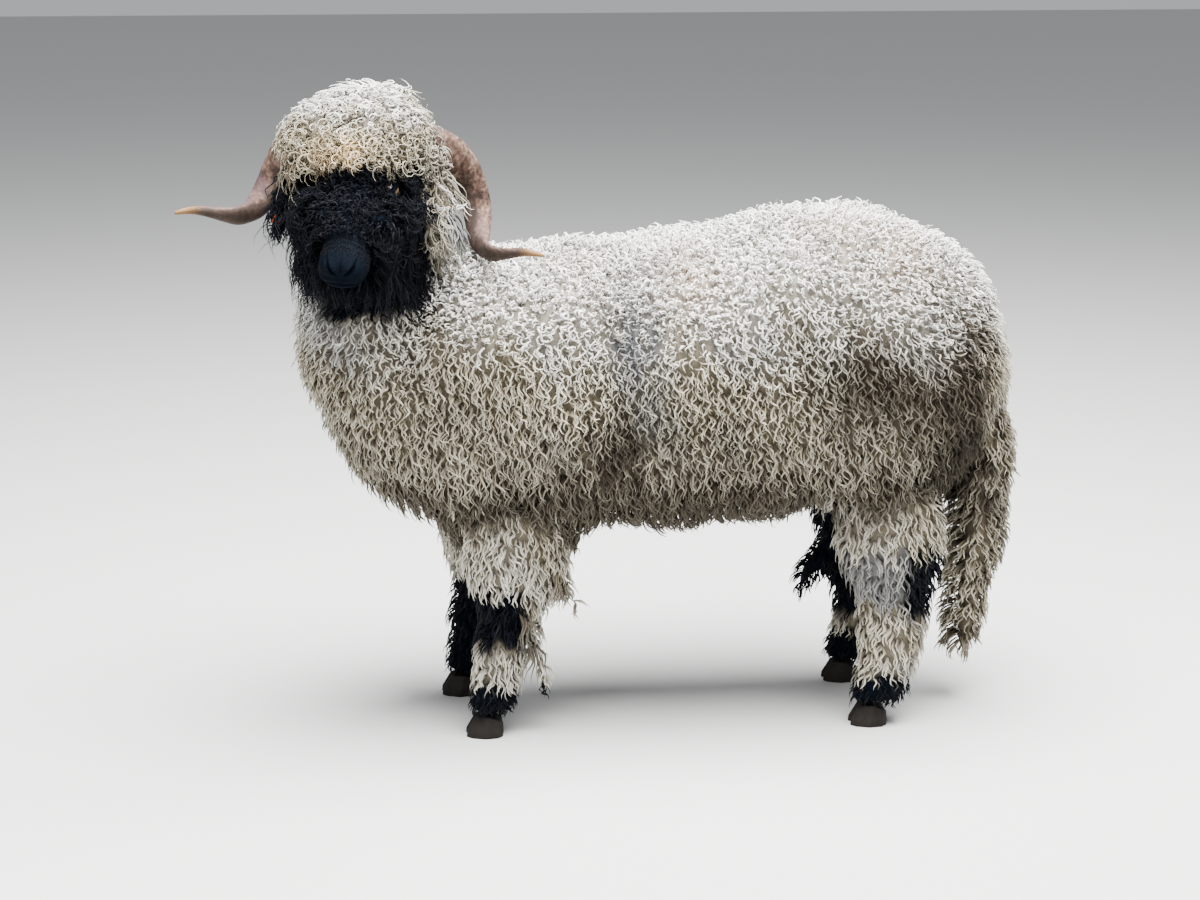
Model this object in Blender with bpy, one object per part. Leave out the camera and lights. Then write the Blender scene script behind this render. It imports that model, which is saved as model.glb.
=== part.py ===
"""A Valais blacknose ram, standing with its head turned to its left, as a life-size still model.

The animal stands along Y with its head at -Y and its left side at +X. Its feet are at Z = 0. Every
fleeced piece is a core with rounded clumps of wool fused to it, and the pieces meet at thin flat cuts.
All lengths are metres.
"""
import math

import bmesh
import bpy
import numpy as np
from mathutils import Matrix, Vector

GAP = 0.0003
FAR = 2.0
MODEL_SHIFT = (-0.0266, 0.0893)

# Coat depth from the core to the tips
TORSO_COAT = 0.036
NECK_COAT = 0.032
CAP_COAT = 0.030
LEG_COAT = 0.014
TAIL_COAT = 0.018

# Torso, at the tips of the wool: distance along the body, top, bottom, half width
TORSO_OUTLINE = (
    (-0.600, 0.700, 0.610, 0.030),
    (-0.582, 0.740, 0.555, 0.085),
    (-0.545, 0.775, 0.490, 0.130),
    (-0.490, 0.795, 0.425, 0.170),
    (-0.420, 0.808, 0.352, 0.202),
    (-0.300, 0.812, 0.333, 0.228),
    (-0.150, 0.812, 0.330, 0.238),
    (0.010, 0.824, 0.328, 0.242),
    (0.160, 0.855, 0.330, 0.246),
    (0.300, 0.868, 0.338, 0.246),
    (0.400, 0.850, 0.352, 0.236),
    (0.470, 0.820, 0.385, 0.212),
    (0.528, 0.768, 0.455, 0.168),
    (0.560, 0.715, 0.525, 0.115),
    (0.576, 0.655, 0.590, 0.045),
)
TORSO_SQUARENESS = 2.35

# Neck, at the tips: centre, half width, half height, lean of the section
NECK_OUTLINE = (
    ((0.000, -0.200, 0.610), 0.190, 0.170, 20),
    ((0.000, -0.340, 0.665), 0.200, 0.165, 32),
    ((0.018, -0.438, 0.738), 0.174, 0.155, 52),
    ((0.050, -0.466, 0.822), 0.150, 0.132, 72),
    ((0.078, -0.476, 0.900), 0.126, 0.116, 88),
    ((0.090, -0.478, 0.960), 0.085, 0.085, 90),
)

# Left legs, at the tips: height, centre across, centre along, half width, half length
FORELEG_OUTLINE = (
    (0.470, 0.125, -0.255, 0.080, 0.118),
    (0.370, 0.122, -0.250, 0.076, 0.108),
    (0.300, 0.118, -0.250, 0.062, 0.088),
    (0.240, 0.115, -0.256, 0.051, 0.060),
    (0.190, 0.114, -0.268, 0.046, 0.048),
    (0.140, 0.112, -0.279, 0.041, 0.042),
    (0.090, 0.112, -0.284, 0.043, 0.043),
    (0.055, 0.112, -0.290, 0.045, 0.047),
    (0.030, 0.112, -0.296, 0.040, 0.048),
)
HINDLEG_OUTLINE = (
    (0.500, 0.128, 0.360, 0.088, 0.118),
    (0.400, 0.130, 0.360, 0.084, 0.108),
    (0.330, 0.128, 0.366, 0.070, 0.090),
    (0.270, 0.126, 0.376, 0.056, 0.080),
    (0.225, 0.124, 0.378, 0.051, 0.072),
    (0.170, 0.121, 0.376, 0.045, 0.058),
    (0.120, 0.120, 0.372, 0.045, 0.054),
    (0.070, 0.120, 0.360, 0.048, 0.055),
    (0.030, 0.120, 0.345, 0.042, 0.054),
)
# The right foreleg stands this far ahead of the left one
RIGHT_FORELEG_AHEAD = -0.030

# Tail, at the tips: height, centre along, half width, half length
TAIL_OUTLINE = (
    (0.745, 0.490, 0.045, 0.045),
    (0.690, 0.514, 0.058, 0.052),
    (0.610, 0.530, 0.060, 0.050),
    (0.540, 0.544, 0.058, 0.050),
    (0.470, 0.556, 0.057, 0.049),
    (0.360, 0.551, 0.056, 0.049),
    (0.250, 0.541, 0.053, 0.048),
    (0.170, 0.525, 0.047, 0.044),
    (0.110, 0.518, 0.040, 0.038),
    (0.060, 0.516, 0.022, 0.020),
)

# Head: poll, turn away from straight left, and how far the face leans from upright
POLL = Vector((0.110, -0.474, 1.006))
HEAD_TURN = math.radians(10)
FACE_LEAN = math.radians(50)
HEAD_ROLL = math.radians(-5)
# Skull: distance from the poll to the nose, half width, front of the face, underside
SKULL_OUTLINE = (
    (-0.030, 0.020, -0.030, -0.065),
    (-0.020, 0.042, -0.012, -0.082),
    (0.020, 0.056, 0.000, -0.104),
    (0.070, 0.062, 0.006, -0.124),
    (0.105, 0.060, 0.006, -0.130),
    (0.140, 0.049, 0.006, -0.118),
    (0.180, 0.039, 0.003, -0.100),
    (0.220, 0.035, -0.001, -0.086),
    (0.250, 0.038, -0.005, -0.078),
    (0.268, 0.035, -0.011, -0.070),
    (0.280, 0.022, -0.022, -0.058),
)
# Rows of ringlets on the crown: height round the head in degrees and ringlets in the row
CAP_STEP = 40
CAP_ROWS = ((70, 3), (34, 7), (-6, 8))
# Rows of curls on the face: place along the skull, curls round it and their depth
FACE_CURL_ROWS = ((2.4, 8, 0.020), (3.6, 8, 0.026), (4.8, 8, 0.024), (6.0, 6, 0.020))
# How much deeper the curls are at the cheeks and under the jaw
CHEEK_FULLNESS = 1.45
JAW_FULLNESS = 0.90
CAP_CENTRE = (-0.025, 0.000, -0.055)
CAP_RADII = (0.116, 0.132, 0.121)
# Clumps: how far they lap over their share of the coat, then the sides of each kind and, for each
# ring from the root up, its width, its rise and how far it is drawn along the lie
CLUMP_LAP = 1.08
FULL_CLUMP = (6, ((1.02, -0.40, 0.0), (0.92, 0.55, 0.45), (0.55, 0.98, 0.90)))
SMALL_CLUMP = (5, ((1.02, -0.40, 0.0), (0.84, 0.82, 0.55)))

EYE_RADIUS = 0.0135
EYE_PLACE = (0.108, 0.0495, -0.026)
EYE_OPENING = (0.0125, 0.0068, 0.0085)
EYE_OPENING_OUT = 0.003
# How far the eyes look ahead and up from straight sideways
GAZE_AHEAD = 0.35
GAZE_UP = 0.10
LID_DEPTH = 0.0042
MOUTH_POINTS = 9
MOUTH_FRONT = 0.276
MOUTH_LENGTH = 0.060
MOUTH_HALF_WIDTH = 0.0375
MOUTH_DEPTH = -0.052
# Upper and lower lip: distance from the line of the mouth and radius
LIPS = ((0.0065, 0.0075), (-0.0075, 0.0070))
NOSTRIL_PLACE = (0.272, 0.0165, -0.026)
NOSTRIL_RADII = (0.0115, 0.0040, 0.0100)
# The slit's way: to the side, out of the face and down it; then its bore: down the face and to the side
NOSTRIL_WAY = (0.80, 0.65, -0.35)
NOSTRIL_BORE = (0.90, 0.35)
# Beard: distance to the left, down the face and drop of each lock
BEARD = ((0.000, 0.225, 0.058), (0.030, 0.205, 0.060), (-0.030, 0.205, 0.056))
BEARD_RADII = (0, 0.024, 0.018, 0)
EAR_LENGTH = 0.125
EAR_WIDTH = 0.052
EAR_WALL = 0.0035
# Down the ear: distance, width and depth of the cup, as shares of the ear's length and width
EAR_OUTLINE = (
    (-0.08, 0.30, 0.50),
    (0.08, 0.52, 0.50),
    (0.30, 0.90, 0.34),
    (0.52, 1.00, 0.22),
    (0.74, 0.84, 0.14),
    (0.92, 0.46, 0.08),
    (1.00, 0.16, 0.00),
)
EAR_ROOT = (0.022, 0.086, -0.062)
EAR_TIP = (0.052, 0.128, -0.185)
# Tag: place down the ear, then depth and radius along the stem, and the plate
TAG_PLACE = 0.80
TAG_STEM = ((-0.0100, 0.0065), (-0.0078, 0.0065), (-0.0078, 0.0022), (0.0040, 0.0022))
TAG_PLATE = (0.0036, 0.0056)
TAG_CORNERS = ((-0.0055, -0.004), (0.0055, -0.004), (0.0065, 0.011), (-0.0065, 0.011))

CLAW_SIDES = 8
CLAW_LENGTH = 0.062
CLAW_WIDTH = 0.027
CLAW_HEIGHT = 0.036
CLAW_SPLIT = 0.005
CLAW_SET_BACK = -0.008
# Up the claw: height, size and how far it leans back, then its narrowing heel and sloping top
CLAW_RINGS = ((0.0, 1.0, 0.0), (0.010, 1.0, 0.001), (CLAW_HEIGHT, 0.74, 0.008))
CLAW_HEEL = 0.38
CLAW_SLOPE = 0.010

# Horn: forward, out and up from the poll, then half width, half thickness and turn of the section
HORN_PATH = (
    ((-0.015, 0.040, -0.020), 0.036, 0.022, 88),
    ((-0.035, 0.085, -0.022), 0.036, 0.022, 88),
    ((-0.065, 0.122, -0.040), 0.034, 0.021, 86),
    ((-0.095, 0.146, -0.074), 0.031, 0.019, 84),
    ((-0.104, 0.162, -0.112), 0.028, 0.017, 82),
    ((-0.090, 0.173, -0.146), 0.024, 0.015, 80),
    ((-0.054, 0.181, -0.172), 0.021, 0.013, 95),
    ((-0.018, 0.200, -0.184), 0.019, 0.012, 120),
    ((0.010, 0.232, -0.178), 0.012, 0.010, 150),
    ((0.026, 0.264, -0.170), 0.008, 0.007, 170),
    ((0.034, 0.294, -0.172), 0.003, 0.003, 180),
)

# The right horn sweeps out this much higher than the left one
RIGHT_HORN_LIFT = 0.020
HORN_RINGS = 20
HORN_GROOVE = 0.0018

# Rows of clumps: first and last station of the tube, rows between them and width of a clump
TORSO_ROWS = (1.6, 13.9, 7, 0.180)
BREAST_ROWS = (0.3, 3.3, 2, 0.165)
NECK_ROWS = (0.6, 4.2, 3, 0.170)
TAIL_ROWS = (0.9, 8.9, 4, 0.100)
LEG_ROWS = {
    "fore": ((0.8, 3.7, 1, 0.100), (3.6, 7.9, 2, 0.074)),
    "hind": ((0.6, 4.1, 1, 0.100), (4.0, 7.9, 2, 0.074)),
}

# Single locks and pieces of the underside, as points and the radius at each
SHEATH = (
    ((0, 0.070, 0.400), (0, 0.072, 0.360), (0, 0.078, 0.330), (0, 0.082, 0.305)),
    (0, 0.026, 0.016, 0),
)
FELT_STUB = (
    ((0.128, -0.190, 0.295), (0.130, -0.172, 0.262), (0.132, -0.155, 0.225), (0.132, -0.146, 0.190)),
    (0, 0.022, 0.016, 0),
)
FELT_CORD = (
    ((0.122, -0.225, 0.262), (0.122, -0.215, 0.225), (0.122, -0.211, 0.160), (0.122, -0.208, 0.100),
     (0.122, -0.205, 0.035)),
    (0, 0.015, 0.011, 0.010, 0),
)
# The felted lock before the left shoulder, from the poll
FELT_LOCK = ((-0.020, 0.115, -0.050), (-0.012, 0.138, -0.075), (-0.008, 0.146, -0.120),
             (-0.002, 0.150, -0.170), (0.004, 0.152, -0.200))
FELT_RADII = (0, 0.020, 0.022, 0.014, 0)
# Locks before the right hock: place across, top and drop
HOCK_LOCKS = ((-0.105, 0.275, 0.115), (-0.130, 0.265, 0.135), (-0.118, 0.250, 0.090),
              (-0.145, 0.255, 0.120))
HOCK_ROOT = 0.345
HOCK_REACH = 0.080
HOCK_RADII = (0, 0.022, 0.023, 0.012, 0)
SCROTUM_CENTRE = (0, 0.463, 0.432)
SCROTUM_RADII = (0.038, 0.040, 0.068)
# Its stem: place along the body and height, then half width and half depth
SCROTUM_STEM = (((0.455, 0.450), (0.030, 0.032)), ((0.450, 0.520), (0.024, 0.026)))
GROIN_CENTRE = (0, 0.505, 0.350)
GROIN_RADII = (0.058, 0.115, 0.150)

WOOL_COLOUR = (0.62, 0.54, 0.44)
BLACK_HAIR = (0.012, 0.012, 0.016)
HORN_COLOUR = (0.22, 0.13, 0.09)


def clear_scene():
    for obj in list(bpy.data.objects):
        bpy.data.objects.remove(obj, do_unlink=True)


def make_object(name, corners, faces):
    """A closed mesh with its faces turned outwards."""
    mesh = bpy.data.meshes.new(name)
    mesh.from_pydata([tuple(c) for c in corners], [], faces)
    shape = bmesh.new()
    shape.from_mesh(mesh)
    bmesh.ops.recalc_face_normals(shape, faces=shape.faces)
    if shape.calc_volume(signed=True) < 0:
        bmesh.ops.reverse_faces(shape, faces=shape.faces)
    shape.to_mesh(mesh)
    shape.free()
    obj = bpy.data.objects.new(name, mesh)
    bpy.context.scene.collection.objects.link(obj)
    return obj


def rings_object(name, rings, start=None, end=None):
    """A skin over rings of equal count, closed at each end by a fan to a point or to the ring's middle.

    Each four-sided patch is split the same way, so that a grown copy of a form clears it all over.
    """
    sides = len(rings[0])
    corners = [Vector(p) for ring in rings for p in ring]
    faces = []
    for k in range(len(rings) - 1):
        for i in range(sides):
            j = (i + 1) % sides
            a, b, c, d = k * sides + i, k * sides + j, (k + 1) * sides + j, (k + 1) * sides + i
            faces += [(a, b, c), (a, c, d)]
    last = (len(rings) - 1) * sides
    for point, first in ((start, 0), (end, last)):
        if point is None:
            point = sum((corners[first + i] for i in range(sides)), Vector()) / sides
        corners.append(Vector(point))
        faces += [(first + i, first + (i + 1) % sides, len(corners) - 1) for i in range(sides)]
    return make_object(name, corners, faces)


class Tube:
    """A body form swept through stations, each a centre and two half axes."""

    def __init__(self, stations, squareness=2.0):
        self.table = np.array([np.concatenate([np.array(v, float) for v in row]) for row in stations])
        self.squareness = squareness

    def station(self, s):
        """Centre and half axes at s, which counts stations, on a smooth curve through them."""
        count = len(self.table)
        k = max(min(int(math.floor(s)), count - 2), 0)
        t = s - k
        p0, p1 = self.table[max(k - 1, 0)], self.table[k]
        p2, p3 = self.table[k + 1], self.table[min(k + 2, count - 1)]
        row = 0.5 * (2 * p1 + (p2 - p0) * t + (2 * p0 - 5 * p1 + 4 * p2 - p3) * t**2
                     + (3 * p1 - p0 - 3 * p2 + p3) * t**3)
        return Vector(row[0:3]), Vector(row[3:6]), Vector(row[6:9])

    def point(self, s, angle, inset=0.0):
        centre, across, up = self.station(s)
        power = 2.0 / self.squareness
        c, d = math.cos(angle), math.sin(angle)
        c = math.copysign(abs(c) ** power, c)
        d = math.copysign(abs(d) ** power, d)
        a, b = across.length, up.length
        across = across * (max(a - inset, 0.25 * a) / a)
        up = up * (max(b - inset, 0.25 * b) / b)
        return centre + across * c + up * d

    def stops(self, first, last, count):
        """Stations at even distances from one station to another, both among them."""
        steps = 80
        stops = [first + (last - first) * k / steps for k in range(steps + 1)]
        run = [0.0]
        for k in range(steps):
            run.append(run[-1] + (self.station(stops[k + 1])[0] - self.station(stops[k])[0]).length)
        return [float(np.interp(run[-1] * k / (count - 1), run, stops)) for k in range(count)]

    def solid(self, name, sides, inset=0.0):
        rings = [[self.point(s, 2 * math.pi * i / sides, inset) for i in range(sides)]
                 for s in range(len(self.table))]
        return rings_object(name, rings)


def torso_tube():
    rows = []
    for along, top, bottom, half in TORSO_OUTLINE:
        rows.append(((0, along, (top + bottom) / 2), (half, 0, 0), (0, 0, (top - bottom) / 2)))
    return Tube(rows, TORSO_SQUARENESS)


def neck_tube():
    rows = []
    for centre, half, height, lean in NECK_OUTLINE:
        a = math.radians(lean)
        rows.append((centre, (half, 0, 0), (0, height * math.sin(a), height * math.cos(a))))
    return Tube(rows, 2.1)


def leg_tube(outline, side, ahead):
    rows = []
    for z, across, along, half, length in outline:
        rows.append(((side * across, along + ahead, z), (half, 0, 0), (0, length, 0)))
    return Tube(rows)


def tail_tube():
    return Tube([((0, y, z), (a, 0, 0), (0, b, 0)) for z, y, a, b in TAIL_OUTLINE])


# The head's own directions: level ahead, to its left and up, then down the face and out of it
AHEAD = Vector((math.cos(HEAD_TURN), -math.sin(HEAD_TURN), 0))
UP = Matrix.Rotation(HEAD_ROLL, 3, AHEAD) @ Vector((0, 0, 1))
LEFT = UP.cross(AHEAD).normalized()
DOWN_FACE = AHEAD * math.sin(FACE_LEAN) - UP * math.cos(FACE_LEAN)
OUT_OF_FACE = AHEAD * math.cos(FACE_LEAN) + UP * math.sin(FACE_LEAN)


def from_poll(ahead, left, up):
    return POLL + AHEAD * ahead + LEFT * left + UP * up


def on_face(down, left, out):
    return POLL + DOWN_FACE * down + LEFT * left + OUT_OF_FACE * out


def skull_tube(grow=0.0):
    rows = []
    for down, half, front, under in SKULL_OUTLINE:
        rows.append((on_face(down, 0, (front + under) / 2), LEFT * (half + grow),
                     OUT_OF_FACE * ((front - under) / 2 + grow)))
    return Tube(rows, 2.3)


def paint(obj, colour, roughness, metallic=0.0):
    material = bpy.data.materials.new(obj.name)
    material.use_nodes = True
    shader = material.node_tree.nodes["Principled BSDF"]
    shader.inputs["Base Color"].default_value = (*colour, 1)
    shader.inputs["Roughness"].default_value = roughness
    shader.inputs["Metallic"].default_value = metallic
    obj.data.materials.clear()
    obj.data.materials.append(material)
    obj.data.shade_smooth()


def ellipsoid(name, centre, axes, sides=8, bands=5):
    """A rounded closed form with three half axes, its poles along the first."""
    long_axis, across, up = axes
    rings = []
    for k in range(1, bands):
        turn = math.pi * k / bands
        ring = []
        for i in range(sides):
            a = 2 * math.pi * i / sides
            ring.append(centre - long_axis * math.cos(turn)
                        + (across * math.cos(a) + up * math.sin(a)) * math.sin(turn))
        rings.append(ring)
    return rings_object(name, rings, centre - long_axis, centre + long_axis)


def box(name, low, high):
    corners = [(x, y, z) for x in (low[0], high[0]) for y in (low[1], high[1]) for z in (low[2], high[2])]
    faces = [(0, 1, 3, 2), (4, 6, 7, 5), (0, 4, 5, 1), (2, 3, 7, 6), (0, 2, 6, 4), (1, 5, 7, 3)]
    return make_object(name, corners, faces)


def half_space(name, place, normal, clearance=0.0):
    """A large block on the side of a plane that the normal points to."""
    normal = Vector(normal).normalized()
    turn = normal.to_track_quat("Z", "Y").to_matrix()
    corners = []
    for x in (-FAR, FAR):
        for y in (-FAR, FAR):
            for z in (clearance, FAR):
                corners.append(Vector(place) + turn @ Vector((x, y, z)))
    faces = [(0, 1, 3, 2), (4, 6, 7, 5), (0, 4, 5, 1), (2, 3, 7, 6), (0, 2, 6, 4), (1, 5, 7, 3)]
    return make_object(name, corners, faces)


def bent_tube(name, points, radii, side_axis=Vector((1, 0, 0)), sides=6, flat=1.0):
    """A closed rod through points with its own radius at each, pinched to points at its ends."""
    points = [Vector(p) for p in points]
    rings = []
    for k in range(1, len(points) - 1):
        along = (points[k + 1] - points[k - 1]).normalized()
        across = (side_axis - along * side_axis.dot(along)).normalized()
        up = along.cross(across)
        rings.append([points[k] + radii[k] * (across * math.cos(2 * math.pi * i / sides)
                                              + up * flat * math.sin(2 * math.pi * i / sides))
                      for i in range(sides)])
    return rings_object(name, rings, points[0], points[-1])


def clump(surface, place, half, depth, drift, kind):
    """A rounded clump of wool: its rim sunk in the core, its crown drawn along the lie of the coat."""
    sides, levels = kind
    rings = []
    for scale, rise, shift in levels:
        ring = []
        for i in range(sides):
            a = 2 * math.pi * (i + 0.5) / sides
            u = place[0] + half[0] * (scale * math.cos(a) + drift[0] * shift)
            v = place[1] + half[1] * (scale * math.sin(a) + drift[1] * shift)
            ring.append(surface(u, v, rise * depth))
        rings.append(ring)
    crown = surface(place[0] + half[0] * drift[0], place[1] + half[1] * drift[1], depth)
    return rings_object("clump", rings, None, crown)


def coat(tube, chance, spread, depth, drift, kind, wanted=lambda place: True):
    """Clumps set close in staggered rows, evenly along and round a span of a tube."""
    first, last, rows, width = spread
    made = []
    stops = tube.stops(first, last, 2 * rows + 1)
    for row in range(rows):
        low, s, high = stops[2 * row:2 * row + 3]
        centre, across, up = tube.station(s)
        a, b = across.length - 0.5 * depth, up.length - 0.5 * depth
        girth = math.pi * (3 * (a + b) - math.sqrt((3 * a + b) * (a + 3 * b)))
        count = max(int(round(girth / width)), 4)
        for i in range(count):
            angle = 2 * math.pi * (i + 0.5 * (row % 2) + 0.14 * (chance.random() - 0.5)) / count
            bulk = CLUMP_LAP * (1.0 + 0.12 * (chance.random() - 0.5))
            height = depth * (1.24 - 0.14 * chance.random())
            if wanted(tube.point(s, angle, depth)):
                made.append(clump(lambda u, v, rise: tube.point(u, v, depth - rise), (s, angle),
                                  (0.5 * (high - low) * bulk, math.pi / count * bulk), height,
                                  drift(angle), kind))
    return made


def join(name, pieces):
    """One closed body from overlapping closed pieces."""
    group = bpy.data.collections.new(name + "_pieces")
    bpy.context.scene.collection.children.link(group)
    base = pieces[0]
    for piece in pieces[1:]:
        bpy.context.scene.collection.objects.unlink(piece)
        group.objects.link(piece)
    if len(pieces) > 1:
        union = base.modifiers.new("join", "BOOLEAN")
        union.operation = "UNION"
        union.operand_type = "COLLECTION"
        union.collection = group
        union.solver = "MANIFOLD"
        apply_modifiers(base)
    for piece in list(group.objects):
        bpy.data.objects.remove(piece, do_unlink=True)
    bpy.data.collections.remove(group)
    base.name = name
    return base


def apply_modifiers(obj):
    graph = bpy.context.evaluated_depsgraph_get()
    mesh = bpy.data.meshes.new_from_object(obj.evaluated_get(graph))
    obj.modifiers.clear()
    obj.data = mesh


def combine(obj, tool, operation, keep_tool=False):
    step = obj.modifiers.new(operation.lower(), "BOOLEAN")
    step.operation = operation
    step.object = tool
    step.solver = "MANIFOLD"
    apply_modifiers(obj)
    if not keep_tool:
        bpy.data.objects.remove(tool, do_unlink=True)


def keep_largest(obj):
    """Only the largest closed surface of a mesh stays."""
    shape = bmesh.new()
    shape.from_mesh(obj.data)
    shape.verts.index_update()
    left = set(shape.verts)
    groups = []
    while left:
        seed = left.pop()
        group = {seed}
        front = [seed]
        while front:
            vert = front.pop()
            for edge in vert.link_edges:
                other = edge.other_vert(vert)
                if other in left:
                    left.discard(other)
                    group.add(other)
                    front.append(other)
        groups.append(group)

    def reach(group):
        spans = [max(v.co[k] for v in group) - min(v.co[k] for v in group) for k in range(3)]
        return spans[0] * spans[1] * spans[2]

    best = max(groups, key=reach)
    bmesh.ops.delete(shape, geom=[v for v in shape.verts if v not in best], context="VERTS")
    shape.to_mesh(obj.data)
    shape.free()


# Where the pieces part: a point of each cut and the side that the outer piece keeps
NECK_CUT = (Vector((0, -0.420, 0.740)), Vector((0, -0.72, 0.69)))
HEAD_CUT = (Vector((0.090, -0.477, 0.805)), Vector((0.49, -0.10, 0.865)))
FACE_CUT = (from_poll(0.060, 0, -0.030), AHEAD * 0.867 - UP * 0.499)
FORELEG_CUT = 0.330
HINDLEG_CUT = 0.345
FORELEG_PLUG = 0.395
HINDLEG_PLUG = 0.410
TAIL_CELL = ((-0.064, 0.506, -0.05), (0.064, FAR, 0.742))


def beyond(cut, place, margin=0.0):
    return (place - cut[0]).dot(cut[1]) > margin


def down_the_side(angle):
    """The lie of the wool on a level tube: from the back down both sides, and a little to the rear."""
    return 0.15, -0.42 * math.cos(angle)


def down_the_tube(angle):
    return 0.40, 0.0


def up_the_tube(angle):
    return -0.40, 0.0


def torso_core():
    return torso_tube().solid("torso_core", 16, TORSO_COAT)


def bare_of_clumps(place):
    """Where the torso has no clumps: under the tail, in the groin and over the tops of the legs."""
    under_tail = abs(place.x) < 0.05 and place.y > 0.52 and place.z < 0.72
    in_groin = abs(place.x) < 0.06 and place.y > 0.42 and place.z < 0.50
    fore_top = abs(place.y - FORELEG_OUTLINE[1][2]) < 0.07
    hind_top = abs(place.y - HINDLEG_OUTLINE[1][2]) < 0.07
    on_leg = place.z < 0.40 and abs(abs(place.x) - 0.12) < 0.05 and (fore_top or hind_top)
    return under_tail or in_groin or on_leg


def make_torso():
    chance = np.random.default_rng(11)
    pieces = [torso_core(), bent_tube("sheath", *SHEATH)]
    pieces += coat(torso_tube(), chance, TORSO_ROWS, TORSO_COAT, down_the_side, FULL_CLUMP,
                   lambda place: not (beyond(NECK_CUT, place, 0.04) or bare_of_clumps(place)))
    torso = join("torso", pieces)
    combine(torso, half_space("cell", NECK_CUT[0], -NECK_CUT[1]), "INTERSECT")
    for side in (1, -1):
        fore = leg_core("fore", side, FORELEG_PLUG + GAP, GAP)
        hind = leg_core("hind", side, HINDLEG_PLUG + GAP, GAP)
        combine(torso, fore, "DIFFERENCE")
        combine(torso, hind, "DIFFERENCE")
        inner, outer = sorted((side * 0.014, side * 0.36))
        shift = RIGHT_FORELEG_AHEAD if side < 0 else 0
        combine(torso, box("under", (inner, -0.43 + shift, -0.1),
                           (outer, -0.10 + shift, FORELEG_CUT + GAP)), "DIFFERENCE")
        combine(torso, box("under", (inner, 0.22, -0.1), (outer, 0.54, HINDLEG_CUT + GAP)),
                "DIFFERENCE")
    groin = ellipsoid("groin", Vector(GROIN_CENTRE), upright_axes(GROIN_RADII), 10, 6)
    combine(torso, groin, "DIFFERENCE")
    combine(torso, scrotum_form(GAP), "DIFFERENCE")
    combine(torso, horn_form(1, GAP), "DIFFERENCE")
    low, high = Vector(TAIL_CELL[0]), Vector(TAIL_CELL[1])
    grow = Vector((GAP, GAP, GAP))
    combine(torso, box("dock", low - grow, high + grow), "DIFFERENCE")
    keep_largest(torso)
    paint(torso, WOOL_COLOUR, 0.95)
    return torso


def upright_axes(radii, grow=0.0):
    across, along, up = radii
    return Vector((0, 0, up + grow)), Vector((across + grow, 0, 0)), Vector((0, along + grow, 0))


def scrotum_form(grow=0.0):
    ball = ellipsoid("scrotum_ball", Vector(SCROTUM_CENTRE), upright_axes(SCROTUM_RADII, grow), 8, 6)
    rows = []
    for (along, up), (across, deep) in SCROTUM_STEM:
        rows.append(((0, along, up), (across + grow, 0, 0), (0, deep + grow, 0)))
    top = rows[-1][0]
    rows[-1] = ((top[0], top[1], top[2] + grow), *rows[-1][1:])
    return join("scrotum", [ball, Tube(rows).solid("stem", 8)])


def leg_core(kind, side, top, grow):
    """The leg's core alone, from the plug in the torso down."""
    outline = FORELEG_OUTLINE if kind == "fore" else HINDLEG_OUTLINE
    shift = RIGHT_FORELEG_AHEAD if kind == "fore" else 0
    tube = leg_tube(outline, side, shift if side < 0 else 0)
    core = tube.solid("leg_core", 10, LEG_COAT - grow)
    combine(core, box("plug", (-FAR, -FAR, 0.022 - grow), (FAR, FAR, top)), "INTERSECT")
    return core


def make_leg(kind, side):
    name = f"{kind}leg_{'left' if side > 0 else 'right'}"
    outline = FORELEG_OUTLINE if kind == "fore" else HINDLEG_OUTLINE
    shift = RIGHT_FORELEG_AHEAD if kind == "fore" else 0
    shift = shift if side < 0 else 0
    cut = FORELEG_CUT if kind == "fore" else HINDLEG_CUT
    plug = FORELEG_PLUG if kind == "fore" else HINDLEG_PLUG
    tube = leg_tube(outline, side, shift)
    pieces = [leg_core(kind, side, plug, 0)]
    chance = np.random.default_rng(21 + side + (5 if kind == "fore" else 0))
    for spread in LEG_ROWS[kind]:
        pieces += coat(tube, chance, spread, LEG_COAT, down_the_tube, SMALL_CLUMP)
    for piece in pieces[1:]:
        combine(piece, half_space("under", (0, 0, cut), (0, 0, -1)), "INTERSECT")
    if kind == "hind" and side < 0:
        pieces += hock_locks()
    if kind == "fore" and side > 0:
        pieces += matted_locks()
    leg = join(name, pieces)
    for claw_side in (1, -1):
        combine(leg, claw_form(kind, side, claw_side, GAP), "DIFFERENCE")
    keep_largest(leg)
    paint(leg, WOOL_COLOUR, 0.95)
    return leg


def hock_locks():
    """Long black hair that hangs before the right hock."""
    made = []
    for across, top, drop in HOCK_LOCKS:
        start = Vector((across, HOCK_ROOT - 0.2 * (0.275 - top), top))
        tip = Vector((across * 1.02, start.y - HOCK_REACH, top - drop))
        points = [start.lerp(tip, t) + Vector((0, -0.022 * math.sin(math.pi * t), 0))
                  for t in (0, 0.25, 0.55, 0.85, 1)]
        made.append(bent_tube("hock", points, HOCK_RADII, flat=0.8))
    return made


def matted_locks():
    """Two felted locks behind the left elbow, one of them long and free."""
    return [bent_tube("stub", *FELT_STUB), bent_tube("free", *FELT_CORD)]


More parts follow.
